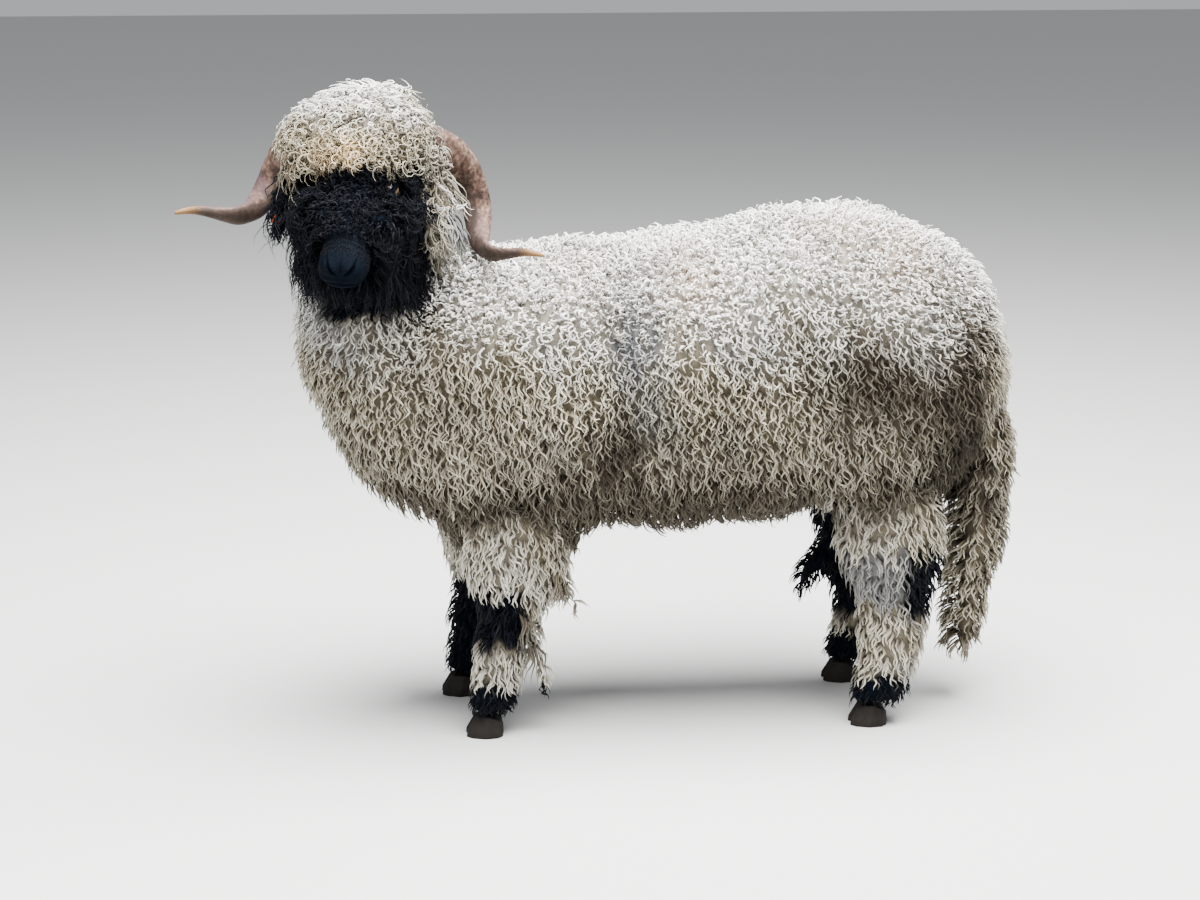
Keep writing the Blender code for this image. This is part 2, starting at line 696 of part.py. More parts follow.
def claw_form(kind, side, claw_side, grow=0.0):
    """One half of a cloven foot: flat below, pointed in front, straight along the split."""
    outline = FORELEG_OUTLINE if kind == "fore" else HINDLEG_OUTLINE
    shift = RIGHT_FORELEG_AHEAD if kind == "fore" else 0
    z, across, along, half, length = outline[-1]
    centre_x = side * across
    centre_y = along + (shift if side < 0 else 0) + CLAW_SET_BACK
    rings = []
    for level, (height, scale, back) in enumerate(CLAW_RINGS):
        height += grow * (level - 1)
        ring = []
        for i in range(CLAW_SIDES):
            a = 2 * math.pi * i / CLAW_SIDES
            ahead = -math.cos(a)
            out = 0.5 + 0.5 * math.sin(a)
            narrow = 1.0 - CLAW_HEEL * max(-ahead, 0) ** 2
            x = CLAW_SPLIT / 2 - grow + (CLAW_WIDTH + 2 * grow) * out * narrow * scale
            y = ahead * (CLAW_LENGTH / 2 + grow) * scale + back
            slope = -CLAW_SLOPE * max(ahead, 0) if level == 2 else 0.0
            ring.append(Vector((centre_x + claw_side * x, centre_y + y, height + slope)))
        rings.append(ring)
    return rings_object("claw", rings)


def make_claws():
    for kind in ("fore", "hind"):
        for side in (1, -1):
            for claw_side in (1, -1):
                place = "outer" if claw_side == side else "inner"
                claw = claw_form(kind, side, claw_side)
                claw.name = f"{kind}claw_{'left' if side > 0 else 'right'}_{place}"
                paint(claw, (0.03, 0.028, 0.028), 0.45)


def make_neck():
    def wanted(place):
        return beyond(NECK_CUT, place, -0.03) and not beyond(HEAD_CUT, place, 0.03)

    chance = np.random.default_rng(31)
    pieces = [neck_tube().solid("neck_core", 14, NECK_COAT), torso_core()]
    pieces += coat(neck_tube(), chance, NECK_ROWS, NECK_COAT, up_the_tube, FULL_CLUMP, wanted)
    pieces += coat(torso_tube(), chance, BREAST_ROWS, TORSO_COAT, down_the_side, FULL_CLUMP, wanted)
    neck = join("neck", pieces)
    combine(neck, half_space("cell", NECK_CUT[0], NECK_CUT[1], GAP), "INTERSECT")
    combine(neck, half_space("cell", HEAD_CUT[0], -HEAD_CUT[1]), "INTERSECT")
    for side in (1, -1):
        combine(neck, horn_form(side, GAP), "DIFFERENCE")
        combine(neck, ear_form(side, GAP, True), "DIFFERENCE")
    keep_largest(neck)
    paint(neck, WOOL_COLOUR, 0.95)
    return neck


def make_tail():
    chance = np.random.default_rng(41)
    pieces = [tail_tube().solid("tail_core", 9, TAIL_COAT)]
    pieces += coat(tail_tube(), chance, TAIL_ROWS, TAIL_COAT, down_the_tube, SMALL_CLUMP)
    tail = join("tail", pieces)
    combine(tail, box("cell", *TAIL_CELL), "INTERSECT")
    keep_largest(tail)
    paint(tail, WOOL_COLOUR, 0.95)
    return tail


def make_scrotum():
    paint(scrotum_form(), (0.10, 0.09, 0.09), 0.8)


def horn_form(side, grow=0.0):
    centres = []
    for k, ((ahead, left, up), half, thick, turn) in enumerate(HORN_PATH):
        share = max(k / (len(HORN_PATH) - 1) - 0.25, 0) / 0.9
        lift = RIGHT_HORN_LIFT * math.sin(math.pi * share) if side < 0 else 0
        centres.append(from_poll(ahead, side * left, up + lift))
    rows = []
    for k, (p, half, thick, turn) in enumerate(HORN_PATH):
        before, after = centres[max(k - 1, 0)], centres[min(k + 1, len(centres) - 1)]
        along = (after - before).normalized()
        first = (AHEAD - along * AHEAD.dot(along)).normalized()
        second = along.cross(first) * side
        angle = math.radians(turn)
        wide = first * math.cos(angle) + second * math.sin(angle)
        rows.append((centres[k], wide * (half + grow), along.cross(wide) * (thick + grow)))
    tube = Tube(rows)
    rings = []
    for k in range(HORN_RINGS + 1):
        share = k / HORN_RINGS
        s = (len(rows) - 1) * min(share, 0.985)
        groove = HORN_GROOVE * (k % 2) * (1 - share)
        rings.append([tube.point(s, 2 * math.pi * i / 8, groove) for i in range(8)])
    inward = (centres[0] - centres[1]).normalized() * grow
    rings[0] = [p + inward for p in rings[0]]
    return rings_object("horn", rings, None, centres[-1] + (centres[-1] - centres[-2]).normalized() * grow)


def make_horns():
    for side in (1, -1):
        horn = horn_form(side)
        horn.name = "horn_left" if side > 0 else "horn_right"
        paint(horn, HORN_COLOUR, 0.5)


def ear_axes(side):
    """Where an ear hangs from, then its directions down, out to the side, forward and across."""
    root = from_poll(EAR_ROOT[0], side * EAR_ROOT[1], EAR_ROOT[2])
    down = (from_poll(EAR_TIP[0], side * EAR_TIP[1], EAR_TIP[2]) - root).normalized()
    outward = LEFT * side
    outward = (outward - down * outward.dot(down)).normalized()
    forward = AHEAD * 0.9 + outward * 0.45
    forward = (forward - down * forward.dot(down)).normalized()
    return root, down, outward, forward, down.cross(forward).normalized()


def ear_form(side, grow=0.0, filled=False):
    """A hanging leaf, hollow on its front face."""
    root, down, outward, forward, width_way = ear_axes(side)
    rings = []
    for t, width, cup in EAR_OUTLINE:
        middle = root + down * (t * EAR_LENGTH) + outward * (0.012 * math.sin(math.pi * max(t, 0)))
        half = 0.5 * EAR_WIDTH * width
        back, front = [], []
        for i in range(7):
            x = -1 + 2 * i / 6
            bowl = cup * EAR_WIDTH * (1 - x * x)
            across = width_way * (x * (half + grow))
            back.append(middle + across - forward * (bowl + EAR_WALL / 2 + grow))
            inner = 0.0 if filled else bowl
            front.append(middle + across * 0.94 - forward * (inner - EAR_WALL / 2 - grow))
        rings.append(back + front[::-1])
    rings[0] = [p - down * grow for p in rings[0]]
    rings[-1] = [p + down * grow for p in rings[-1]]
    return rings_object("ear", rings)


def make_ears():
    for side in (1, -1):
        ear = ear_form(side)
        ear.name = "ear_left" if side > 0 else "ear_right"
        if side < 0:
            combine(ear, tag_form(GAP), "DIFFERENCE")
        paint(ear, BLACK_HAIR, 0.9)


def tag_form(grow=0.0):
    """A small plain ear tag: a plate before the ear, a stem through it and a button behind."""
    root, down, outward, forward, width_way = ear_axes(-1)
    middle = root + down * (TAG_PLACE * EAR_LENGTH) + outward * 0.008
    rings = []
    for depth, radius in TAG_STEM:
        rings.append([middle + forward * depth + (radius + grow) * (
            width_way * math.cos(2 * math.pi * i / 8) + down * math.sin(2 * math.pi * i / 8))
            for i in range(8)])
    stem = rings_object("stem", rings)
    corners = []
    for depth in (TAG_PLATE[0] - grow, TAG_PLATE[1] + grow):
        for x, y in TAG_CORNERS:
            corners.append(middle + forward * depth + width_way * x + down * y)
    plate = rings_object("plate", [corners[:4], corners[4:]])
    return join("ear_tag", [plate, stem])


def make_tag():
    paint(tag_form(), (0.80, 0.13, 0.02), 0.45)


def eye_centre(side):
    down, left, out = EYE_PLACE
    return on_face(down, side * left, out)


def eye_form(side, grow=0.0, sides=10, bands=6):
    axes = (LEFT * side * (EYE_RADIUS + grow), DOWN_FACE * (EYE_RADIUS + grow),
            OUT_OF_FACE * (EYE_RADIUS + grow))
    return ellipsoid("eye", eye_centre(side), axes, sides, bands)


def make_eyes():
    for side in (1, -1):
        eye = eye_form(side)
        eye.name = "eye_left" if side > 0 else "eye_right"
        paint(eye, (0.05, 0.03, 0.012), 0.1)


def lid_pieces(side):
    """The rounded lids, before the eye's opening is cut in them."""
    swell = EYE_RADIUS + LID_DEPTH
    axes = (LEFT * side * swell, DOWN_FACE * (swell + 0.003), OUT_OF_FACE * swell)
    return ellipsoid("lids", eye_centre(side), axes, 10, 6)


def eye_opening(side):
    """An almond as long as the eye shows, pointing out to the side."""
    out = (LEFT * side + AHEAD * GAZE_AHEAD + OUT_OF_FACE * GAZE_UP).normalized()
    long_way = (DOWN_FACE - out * DOWN_FACE.dot(out)).normalized()
    high_way = out.cross(long_way)
    centre = eye_centre(side) + out * (EYE_RADIUS + EYE_OPENING_OUT)
    half_long, half_high, deep = EYE_OPENING
    return ellipsoid("almond", centre, (long_way * half_long, high_way * half_high, out * deep), 8, 6)


def mouth_path(reach):
    """Points along the line of the mouth, from its left corner round the front to the right."""
    points = []
    middle = on_face(0.20, 0, MOUTH_DEPTH + 0.002)
    for k in range(MOUTH_POINTS):
        x = 1 - 2 * k / (MOUTH_POINTS - 1)
        down = MOUTH_FRONT - MOUTH_LENGTH * abs(x) ** 2.2
        half = math.copysign(MOUTH_HALF_WIDTH * math.sin(0.5 * math.pi * min(abs(x) * 1.25, 1)), x)
        place = on_face(down, half, MOUTH_DEPTH - 0.004 * abs(x))
        points.append(place + (place - middle).normalized() * reach)
    return points


def along_mouth(name, reach, out, radius):
    path = [p + OUT_OF_FACE * out for p in mouth_path(reach)]
    return bent_tube(name, path, [0] + [radius] * (MOUTH_POINTS - 2) + [0], OUT_OF_FACE, 5)


def make_head():
    pieces = [skull_tube().solid("skull", 14), lid_pieces(1), lid_pieces(-1)]
    pieces += face_curls() + beard()
    pieces += [along_mouth("lip", -0.0050, out, radius) for out, radius in LIPS]
    head = join("head", pieces)
    combine(head, half_space("cell", FACE_CUT[0], FACE_CUT[1], GAP), "INTERSECT")
    combine(head, half_space("cell", HEAD_CUT[0], HEAD_CUT[1], GAP), "INTERSECT")
    combine(head, along_mouth("mouth", 0.0025, 0, 0.0020), "DIFFERENCE")
    for side in (1, -1):
        combine(head, nostril(side), "DIFFERENCE")
        combine(head, eye_opening(side), "DIFFERENCE")
        combine(head, eye_form(side, GAP), "DIFFERENCE")
        combine(head, ear_form(side, GAP, True), "DIFFERENCE")
        if side < 0:
            combine(head, tag_form(GAP), "DIFFERENCE")
    keep_largest(head)
    paint(head, BLACK_HAIR, 0.92)
    return head


def nostril(side):
    """A slit that runs up and out from the middle of the nose."""
    centre = on_face(NOSTRIL_PLACE[0], side * NOSTRIL_PLACE[1], NOSTRIL_PLACE[2])
    along, inward = NOSTRIL_WAY, NOSTRIL_BORE
    long_way = (LEFT * side * along[0] + OUT_OF_FACE * along[1] + DOWN_FACE * along[2]).normalized()
    deep = (DOWN_FACE * inward[0] + LEFT * side * inward[1]).normalized()
    deep = (deep - long_way * deep.dot(long_way)).normalized()
    half_long, half_wide, depth = NOSTRIL_RADII
    axes = (long_way * half_long, long_way.cross(deep) * half_wide, deep * depth)
    return ellipsoid("nostril", centre, axes, 6, 5)


def face_curls():
    """Rounded black curls over the forehead, cheeks and jaw."""
    chance = np.random.default_rng(51)
    tube = skull_tube()
    made = []
    for row, (s, count, depth) in enumerate(FACE_CURL_ROWS):
        for i in range(count):
            angle = 2 * math.pi * (i + 0.5 * (row % 2) + 0.1 * (chance.random() - 0.5)) / count
            front = math.sin(angle)
            on_bridge = front > 0.55 and s > 4
            under_jaw = front < -0.80 and s > 5.5
            round_eye = abs(front - 0.35) < 0.30 and 3.5 < s < 5.0
            if on_bridge or under_jaw or round_eye:
                continue
            size = 0.95 + 0.2 * chance.random()
            full = 1 + CHEEK_FULLNESS * abs(math.cos(angle)) + JAW_FULLNESS * max(-front, 0)
            made.append(clump(lambda u, v, rise: tube.point(u, v, -rise), (s, angle),
                              (0.66 * size, 1.05 * math.pi / count * size), depth * full, (0.40, 0.0),
                              SMALL_CLUMP))
    return made


def beard():
    """Locks that hang from the chin."""
    made = []
    for left, down, drop in BEARD:
        start = on_face(down, left, -0.072)
        points = [start + Vector((0, 0, -drop * t)) for t in (0, 0.3, 0.65, 1.0)]
        made.append(bent_tube("beard", points, BEARD_RADII, LEFT))
    return made


def make_head_wool():
    ahead, left, up = (radius - CAP_COAT for radius in CAP_RADII)
    cap = ellipsoid("cap", from_poll(*CAP_CENTRE), (UP * up, AHEAD * ahead, LEFT * left), 12, 8)
    pieces = [cap, skull_tube().solid("skull", 12, GAP), neck_tube().solid("nape", 14, NECK_COAT)]
    felt = [from_poll(*place) for place in FELT_LOCK]
    pieces += cap_clumps()
    pieces.append(bent_tube("felt", felt, FELT_RADII, AHEAD, flat=1.2))
    wool = join("head_wool", pieces)
    combine(wool, half_space("cell", FACE_CUT[0], -FACE_CUT[1]), "INTERSECT")
    combine(wool, half_space("cell", HEAD_CUT[0], HEAD_CUT[1], GAP), "INTERSECT")
    for side in (1, -1):
        combine(wool, horn_form(side, GAP), "DIFFERENCE")
        combine(wool, ear_form(side, GAP, True), "DIFFERENCE")
    keep_largest(wool)
    paint(wool, WOOL_COLOUR, 0.95)
    return wool


def cap_point(rise, turn, out):
    """A point of the cap's core, by its height and its turn round the head, moved outwards."""
    way = ((AHEAD * math.cos(turn) + LEFT * math.sin(turn)) * math.cos(rise) + UP * math.sin(rise))
    share = [way.dot(axis) / (radius - CAP_COAT)
             for axis, radius in zip((AHEAD, LEFT, UP), CAP_RADII)]
    return from_poll(*CAP_CENTRE) + way * (1 / math.sqrt(sum(x * x for x in share)) + out)


def cap_clumps():
    """Ringlets over the crown, the sides and the back of the head."""
    chance = np.random.default_rng(61)
    made = []
    for row, (level, count) in enumerate(CAP_ROWS):
        for i in range(count):
            turn = 2 * math.pi * (i + 0.5 * (row % 2) + 0.1 * (chance.random() - 0.5)) / count
            rise = math.radians(level)
            place = cap_point(rise, turn, 0)
            if beyond(FACE_CUT, place, 0.02) or not beyond(HEAD_CUT, place, -0.02):
                continue
            size = CLUMP_LAP * (0.96 + 0.12 * chance.random())
            half = (math.radians(CAP_STEP / 2) * size, min(math.pi / count * size, 1.0))
            height = CAP_COAT * (1.24 - 0.10 * chance.random())
            made.append(clump(cap_point, (rise, turn), half, height, (-0.35, 0.0), SMALL_CLUMP))
    return made


def place_model():
    """Puts the middle of the model's footprint at the origin."""
    for obj in bpy.data.objects:
        obj.data.transform(Matrix.Translation((MODEL_SHIFT[0], MODEL_SHIFT[1], 0)))


def main():
    clear_scene()
    make_torso()
    make_neck()
    make_head_wool()
    make_head()
    make_eyes()
    make_ears()
    make_tag()
    make_horns()
    make_tail()
    make_scrotum()
    for kind in ("fore", "hind"):
        for side in (1, -1):
            make_leg(kind, side)
    make_claws()
    place_model()


main()
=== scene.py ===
"""A Valais blacknose ram as a life-size still model.

One skin stands for all the flesh, and tens of thousands of wavy mesh locks grow from it. Horns, eyes,
claws and the ear tag stay separate. All lengths are metres.
"""

import math

import bpy
import numpy as np
from mathutils import Matrix, Vector
from mathutils.kdtree import KDTree


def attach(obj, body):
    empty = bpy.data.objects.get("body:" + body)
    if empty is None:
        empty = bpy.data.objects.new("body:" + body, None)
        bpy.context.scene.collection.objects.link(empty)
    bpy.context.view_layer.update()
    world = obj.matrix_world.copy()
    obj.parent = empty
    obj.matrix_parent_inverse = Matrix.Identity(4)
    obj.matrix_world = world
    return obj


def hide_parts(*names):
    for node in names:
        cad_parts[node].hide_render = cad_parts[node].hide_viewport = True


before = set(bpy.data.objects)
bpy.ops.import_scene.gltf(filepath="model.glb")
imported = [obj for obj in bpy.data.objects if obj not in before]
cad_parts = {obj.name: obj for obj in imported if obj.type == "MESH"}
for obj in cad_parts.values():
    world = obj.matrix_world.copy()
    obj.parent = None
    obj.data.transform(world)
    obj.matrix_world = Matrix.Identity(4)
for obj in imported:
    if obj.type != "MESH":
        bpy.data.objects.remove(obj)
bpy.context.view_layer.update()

# The photograph's view: where it looks, from which side, how high and how far
VIEW_TARGET = Vector((-0.0266, -0.0107, 0.452))
VIEW_AZIMUTH = math.radians(84)
VIEW_RISE = math.radians(13)
VIEW_DISTANCE = 4.28
VIEW_LENS = 77.04
SENSOR_WIDTH = 36.0

# The head's place and pose
POLL = Vector((0.0834, -0.3847, 1.006))
HEAD_TURN = math.radians(10)
FACE_LEAN = math.radians(50)
HEAD_ROLL = math.radians(-5)
AHEAD = Vector((math.cos(HEAD_TURN), -math.sin(HEAD_TURN), 0))
UP = Matrix.Rotation(HEAD_ROLL, 3, AHEAD) @ Vector((0, 0, 1))
LEFT = UP.cross(AHEAD).normalized()
DOWN_FACE = AHEAD * math.sin(FACE_LEAN) - UP * math.cos(FACE_LEAN)
OUT_OF_FACE = AHEAD * math.cos(FACE_LEAN) + UP * math.sin(FACE_LEAN)

# Skull: distance from the poll to the nose, half width, front of the face, underside
SKULL = (
    (-0.030, 0.020, -0.030, -0.065),
    (-0.012, 0.046, -0.006, -0.088),
    (0.030, 0.057, 0.003, -0.108),
    (0.070, 0.061, 0.007, -0.122),
    (0.105, 0.058, 0.007, -0.128),
    (0.140, 0.048, 0.006, -0.116),
    (0.175, 0.040, 0.004, -0.100),
    (0.205, 0.036, 0.001, -0.089),
    (0.232, 0.036, -0.002, -0.082),
    (0.255, 0.038, -0.006, -0.076),
    (0.272, 0.035, -0.013, -0.068),
    (0.283, 0.024, -0.022, -0.058),
)
EYE_PLACE = (0.108, 0.0495, -0.026)
EYE_RADIUS = 0.0135
LID_RADIUS = 0.0122
LID_THICKNESS = 0.0060
# The horns: how far out from the poll's middle they start, how far they then reach, and their rings
HORN_ROOT = 0.040
HORN_REACH = 0.254
HORN_RINGS = 24

# How far the skin is evened out, and how deep it then lies under the even surface, by node
LEGS = ("foreleg_left", "foreleg_right", "hindleg_left", "hindleg_right")
COAT_DEPTH = {
    "torso": (1.0, 0.012), "neck": (0.9, 0.010), "head_wool": (0.5, 0.010), "tail": (0.35, 0.006),
    "head": (0.25, 0.010), "scrotum": (0.05, 0.001), **{leg: (0.25, 0.004) for leg in LEGS},
}
EARS = ("ear_left", "ear_right")
FLESH = (*COAT_DEPTH, *EARS)
# Between these heights a leg's wool passes into that of the body
LEG_TOP = (0.36, 0.46)
# Bulge of wool over the root of the right horn: ahead of the poll, to its left and above it
PAD_PLACE = (0.028, -0.075, -0.036)
PAD_SIZE = (0.042, 0.036, 0.052)
# Behind this line pale wool hangs over the left ear
FACE_EDGE = -0.302
# Above this height the black of the face ends under the forelock
FACE_TOP = 0.950
SKIN_GRAIN = 0.009
SKIN_ROUNDS = 150
BAKE_MAP = "OFBake"
BAKE_PATCH = 0.003

# Locks of each coat. On the tail, legs and face each is a bundle of two
LOCKS = {"body": 26000, "tail": 950, "leg": 820, "crown": 1700, "temples": 620, "face": 1760,
         "bridge": 1000, "muzzle": 2400, "ears": 760}
LOCK_SIDES = 3
# A lock's form, unless its coat says otherwise
USUAL_FORM = {"round": 1.0, "tight": 0.0, "flat": 0.9, "sunk": 0.002}


def only(obj):
    """Selects one object alone and makes it the active one."""
    bpy.ops.object.select_all(action="DESELECT")
    obj.select_set(True)
    bpy.context.view_layer.objects.active = obj


def apply_form(obj, kind, **settings):
    only(obj)
    form = obj.modifiers.new(kind.lower(), kind)
    for name, value in settings.items():
        setattr(form, name, value)
    bpy.ops.object.modifier_apply(modifier=form.name)


def primitive(operator, **settings):
    """A new primitive, added with nothing else selected."""
    bpy.ops.object.select_all(action="DESELECT")
    operator(**settings)
    return bpy.context.object


def edit_whole(obj, operator, **settings):
    """Runs an edit mode operator on the whole of one mesh."""
    only(obj)
    bpy.ops.object.mode_set(mode="EDIT")
    bpy.ops.mesh.select_all(action="SELECT")
    operator(**settings)
    bpy.ops.object.mode_set(mode="OBJECT")


def set_in_place(obj, centre, axes):
    """Moves a mesh from the origin to its centre, and turns its x, y and z along the axes."""
    obj.data.transform(Matrix.Translation(centre) @ Matrix(axes).transposed().to_4x4())


def node_copy(node, name):
    """A merged copy of a solid, to be worked further."""
    obj = bpy.data.objects.new(name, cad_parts[node].data.copy())
    bpy.context.scene.collection.objects.link(obj)
    obj.data.materials.clear()
    edit_whole(obj, bpy.ops.mesh.remove_doubles, threshold=0.00001)
    return obj


def join(objects, name):
    only(objects[0])
    for obj in objects[1:]:
        obj.select_set(True)
    bpy.ops.object.join()
    objects[0].name = name
    return objects[0]


def points_of(obj, kind="co"):
    """The places of a mesh's points or, as kind "normal", their normals."""
    values = np.empty(len(obj.data.vertices) * 3, np.float32)
    obj.data.vertices.foreach_get(kind, values)
    return values.reshape(-1, 3).astype(float)


def set_points(obj, co):
    obj.data.vertices.foreach_set("co", co.astype(np.float32).ravel())
    obj.data.update()


def smooth_step(x, low, high):
    t = np.clip((x - low) / (high - low), 0, 1)
    return t * t * (3 - 2 * t)


def waves(points, wavelength, seed):
    """Smooth noise between about -1 and 1, as a sum of a few plane waves."""
    chance = np.random.default_rng(seed)
    total = np.zeros(len(points))
    for _ in range(7):
        way = chance.normal(size=3)
        way *= 2 * math.pi / wavelength * chance.uniform(0.6, 1.5) / np.linalg.norm(way)
        total += np.sin(points @ way + chance.uniform(0, 2 * math.pi))
    return total / 2.6


def head_places(points):
    """Distances ahead of the poll, to its left and above it."""
    rel = points - np.array(POLL)
    return rel @ np.array(AHEAD), rel @ np.array(LEFT), rel @ np.array(UP)


def face_places(points):
    """Distances down the face, to the left and out of it."""
    rel = points - np.array(POLL)
    return rel @ np.array(DOWN_FACE), rel @ np.array(LEFT), rel @ np.array(OUT_OF_FACE)


# The skin

def node_finder(names):
    """Tells which solid of the frame lies nearest to each point."""
    sets = [np.array([v.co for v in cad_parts[n].data.vertices]) for n in names]
    tree = KDTree(sum(len(s) for s in sets))
    owners = []
    for k, places in enumerate(sets):
        for place in places:
            tree.insert(place, len(owners))
            owners.append(k)
    tree.balance()
    return lambda points: np.array([owners[tree.find(p)[1]] for p in points])


def owned(owner, *nodes):
    """Where the nearest solid is one of these nodes."""
    return np.isin(owner, [FLESH.index(n) for n in nodes])


def evened(values, ends, share, rounds):
    """Evens out rows of numbers kept on the points of a mesh, along its edges."""
    links = np.maximum(np.bincount(ends.ravel(), minlength=len(values)), 1)
    both = np.concatenate([ends[:, 0], ends[:, 1]]), np.concatenate([ends[:, 1], ends[:, 0]])
    for _ in range(rounds):
        total = [np.bincount(both[0], column[both[1]], len(values)) for column in values.T]
        values = values + share[:, None] * (np.stack(total, axis=1) / links[:, None] - values)
    return values


def body_skin():
    """The body under its wool: the flesh solids as one surface, evened out and drawn in by the coat."""
    nearest = node_finder(COAT_DEPTH)
    skin = join([node_copy(n, "skin_" + n) for n in COAT_DEPTH], "skin")
    apply_form(skin, "REMESH", mode="VOXEL", voxel_size=SKIN_GRAIN)
    apply_form(skin, "SMOOTH", factor=0.5, iterations=3)
    places = points_of(skin)
    ends = np.empty(len(skin.data.edges) * 2, np.int32)
    skin.data.edges.foreach_get("vertices", ends)
    ends = ends.reshape(-1, 2)
    owner = nearest(places)
    values = np.array(list(COAT_DEPTH.values()))[owner]
    to_body = owned(owner, *LEGS) * smooth_step(places[:, 2], *LEG_TOP)
    values[:, 0] += to_body * (1 - values[:, 0])
    values = evened(values, ends, np.full(len(places), 0.5), 12)
    share = np.clip(values[:, 0], 0, 1)
    # The second pass gives back the girth that the first one takes
    soft = evened(places, ends, share, SKIN_ROUNDS)
    soft += evened(places - soft, ends, share, SKIN_ROUNDS)
    set_points(skin, soft)
    set_points(skin, soft - points_of(skin, "normal") * values[:, 1:])
    apply_form(skin, "SMOOTH", factor=0.5, iterations=4)
    return skin


def put_in_order(obj):
    """Sorts a mesh's points by place and its faces by point, as their order varies from run to run."""
    co = points_of(obj)
    order = np.lexsort(co.round(6).T)
    rank = np.argsort(order)
    faces = [rank[list(face.vertices)] for face in obj.data.polygons]
    mesh = bpy.data.meshes.new(obj.name)
    mesh.from_pydata(co[order], [], sorted(np.roll(f, -f.argmin()).tolist() for f in faces))
    obj.data = mesh


def spindle(name, stations, sides):
    """A closed form extruded from a circle through stations: height, centre and half widths."""
    z, x, y, half_x, half_y = stations[0]
    obj = primitive(bpy.ops.mesh.primitive_circle_add, vertices=sides, radius=1, fill_type="NGON",
                    location=(x, y, z))
    obj.name = name
    bpy.ops.object.transform_apply()
    bpy.ops.object.mode_set(mode="EDIT")
    bpy.ops.mesh.select_all(action="SELECT")
    bpy.ops.transform.resize(value=(half_x, half_y, 1), center_override=(x, y, z))
    for last, now in zip(stations, stations[1:]):
        step = (now[1] - last[1], now[2] - last[2], now[0] - last[0])
        bpy.ops.mesh.extrude_region_move(TRANSFORM_OT_translate={"value": step})
        bpy.ops.transform.resize(value=(now[3] / last[3], now[4] / last[4], 1),
                                 center_override=(now[1], now[2], now[0]))
    bpy.ops.mesh.select_all(action="SELECT")
    bpy.ops.mesh.normals_make_consistent(inside=False)
    bpy.ops.object.mode_set(mode="OBJECT")
    put_in_order(obj)
    return obj


def bell(x, width):
    return np.exp(-(x / width) ** 2)


def carve_muzzle(co):
    """Lips, mouth, nostrils, brow and folds, as moves of the points of the face (left, out, down)."""
    x, y, z = co[:, 0], co[:, 1], co[:, 2]
    side = np.abs(x)
    away = co - np.array([0, -0.050, 0.20])
    away /= np.maximum(np.linalg.norm(away, axis=1, keepdims=True), 1e-6)
    front = smooth_step(z, 0.198, 0.222)
    mouth_line = -0.053 - 0.10 * np.maximum(0.235 - z, 0)
    off = y - mouth_line
    move = -0.0052 * bell(off, 0.0022) * front
    move += 0.0030 * (bell(off - 0.0068, 0.0050) + 0.9 * bell(off + 0.0075, 0.0055)) * front
    # The nostrils: a slit that climbs outwards, with a raised wing above it
    across, high = side - 0.0165, y + 0.026
    along = across * 0.78 + high * 0.62
    over = -across * 0.62 + high * 0.78 - 18.0 * along ** 2
    at_nose = smooth_step(z, 0.240, 0.262)
    move -= 0.0105 * bell(along, 0.0085) * bell(over, 0.0026) * at_nose
    move += 0.0032 * bell(along, 0.0110) * bell(over - 0.0062, 0.0040) * at_nose
    move += 0.0012 * bell(along, 0.0100) * bell(over + 0.0055, 0.0034) * at_nose
    move -= 0.0022 * bell(x, 0.0016) * smooth_step(y, -0.056, -0.044) * bell(z - 0.280, 0.018)
    # Soft folds of skin across the bridge above the nose
    folds = np.sin((z - 0.226) * 2 * math.pi / 0.0085 + 900 * x ** 2)
    move += 0.0009 * folds * bell(z - 0.238, 0.012) * smooth_step(y, -0.030, -0.012)
    # Brow over the eye, cheek bone under it and a hollow before it
    move += 0.0060 * bell(z - 0.090, 0.020) * bell(side - 0.046, 0.016) * bell(y + 0.006, 0.016)
    move += 0.0040 * bell(z - 0.135, 0.022) * bell(y + 0.050, 0.018) * smooth_step(side, 0.02, 0.05)
    move -= 0.0040 * bell(z - 0.165, 0.025) * bell(y + 0.024, 0.018) * smooth_step(side, 0.018, 0.036)
    move += 0.0035 * bell(z - 0.262, 0.018) * bell(y + 0.070, 0.012)
    return co + away * move[:, None]


def face_skin():
    rows = [(down, 0.0, (front + under) / 2, half, (front - under) / 2)
            for down, half, front, under in SKULL]
    face = spindle("face", rows, 24)
    apply_form(face, "SUBSURF", levels=3, render_levels=3)
    set_points(face, carve_muzzle(points_of(face)))
    set_in_place(face, POLL, (LEFT, OUT_OF_FACE, DOWN_FACE))
    return face


def eye_axes(side):
    """Centre of an eye, then its directions along the lids, across them and out."""
    down, left, out = EYE_PLACE
    centre = POLL + DOWN_FACE * down + LEFT * side * left + OUT_OF_FACE * out
    gaze = (LEFT * side + AHEAD * 0.35 + OUT_OF_FACE * 0.1).normalized()
    long_way = (DOWN_FACE - gaze * DOWN_FACE.dot(gaze)).normalized()
    return centre, long_way, gaze.cross(long_way).normalized(), gaze


def eye_lids(side):
    """An almond rim that lies on the eyeball, fuller above."""
    centre, long_way, high_way, gaze = eye_axes(side)
    if high_way.dot(UP) < 0:
        long_way, high_way = -long_way, -high_way
    lids = primitive(bpy.ops.mesh.primitive_torus_add, major_segments=40, minor_segments=12,
                     major_radius=LID_RADIUS, minor_radius=LID_THICKNESS / 2)
    edit_whole(lids, bpy.ops.transform.resize, value=(1.05, 0.66, 1.0))
    co = points_of(lids)
    above = co[:, 1] > 0
    co[:, 1] += 0.0010 * above
    reach = np.minimum(np.hypot(co[:, 0], co[:, 1]), 0.0133)
    co[:, 2] = co[:, 2] * (1 + 0.5 * above) + np.sqrt((EYE_RADIUS + 0.0004) ** 2 - reach ** 2)
    set_points(lids, co)
    set_in_place(lids, centre, (long_way, high_way, gaze))
    return lids


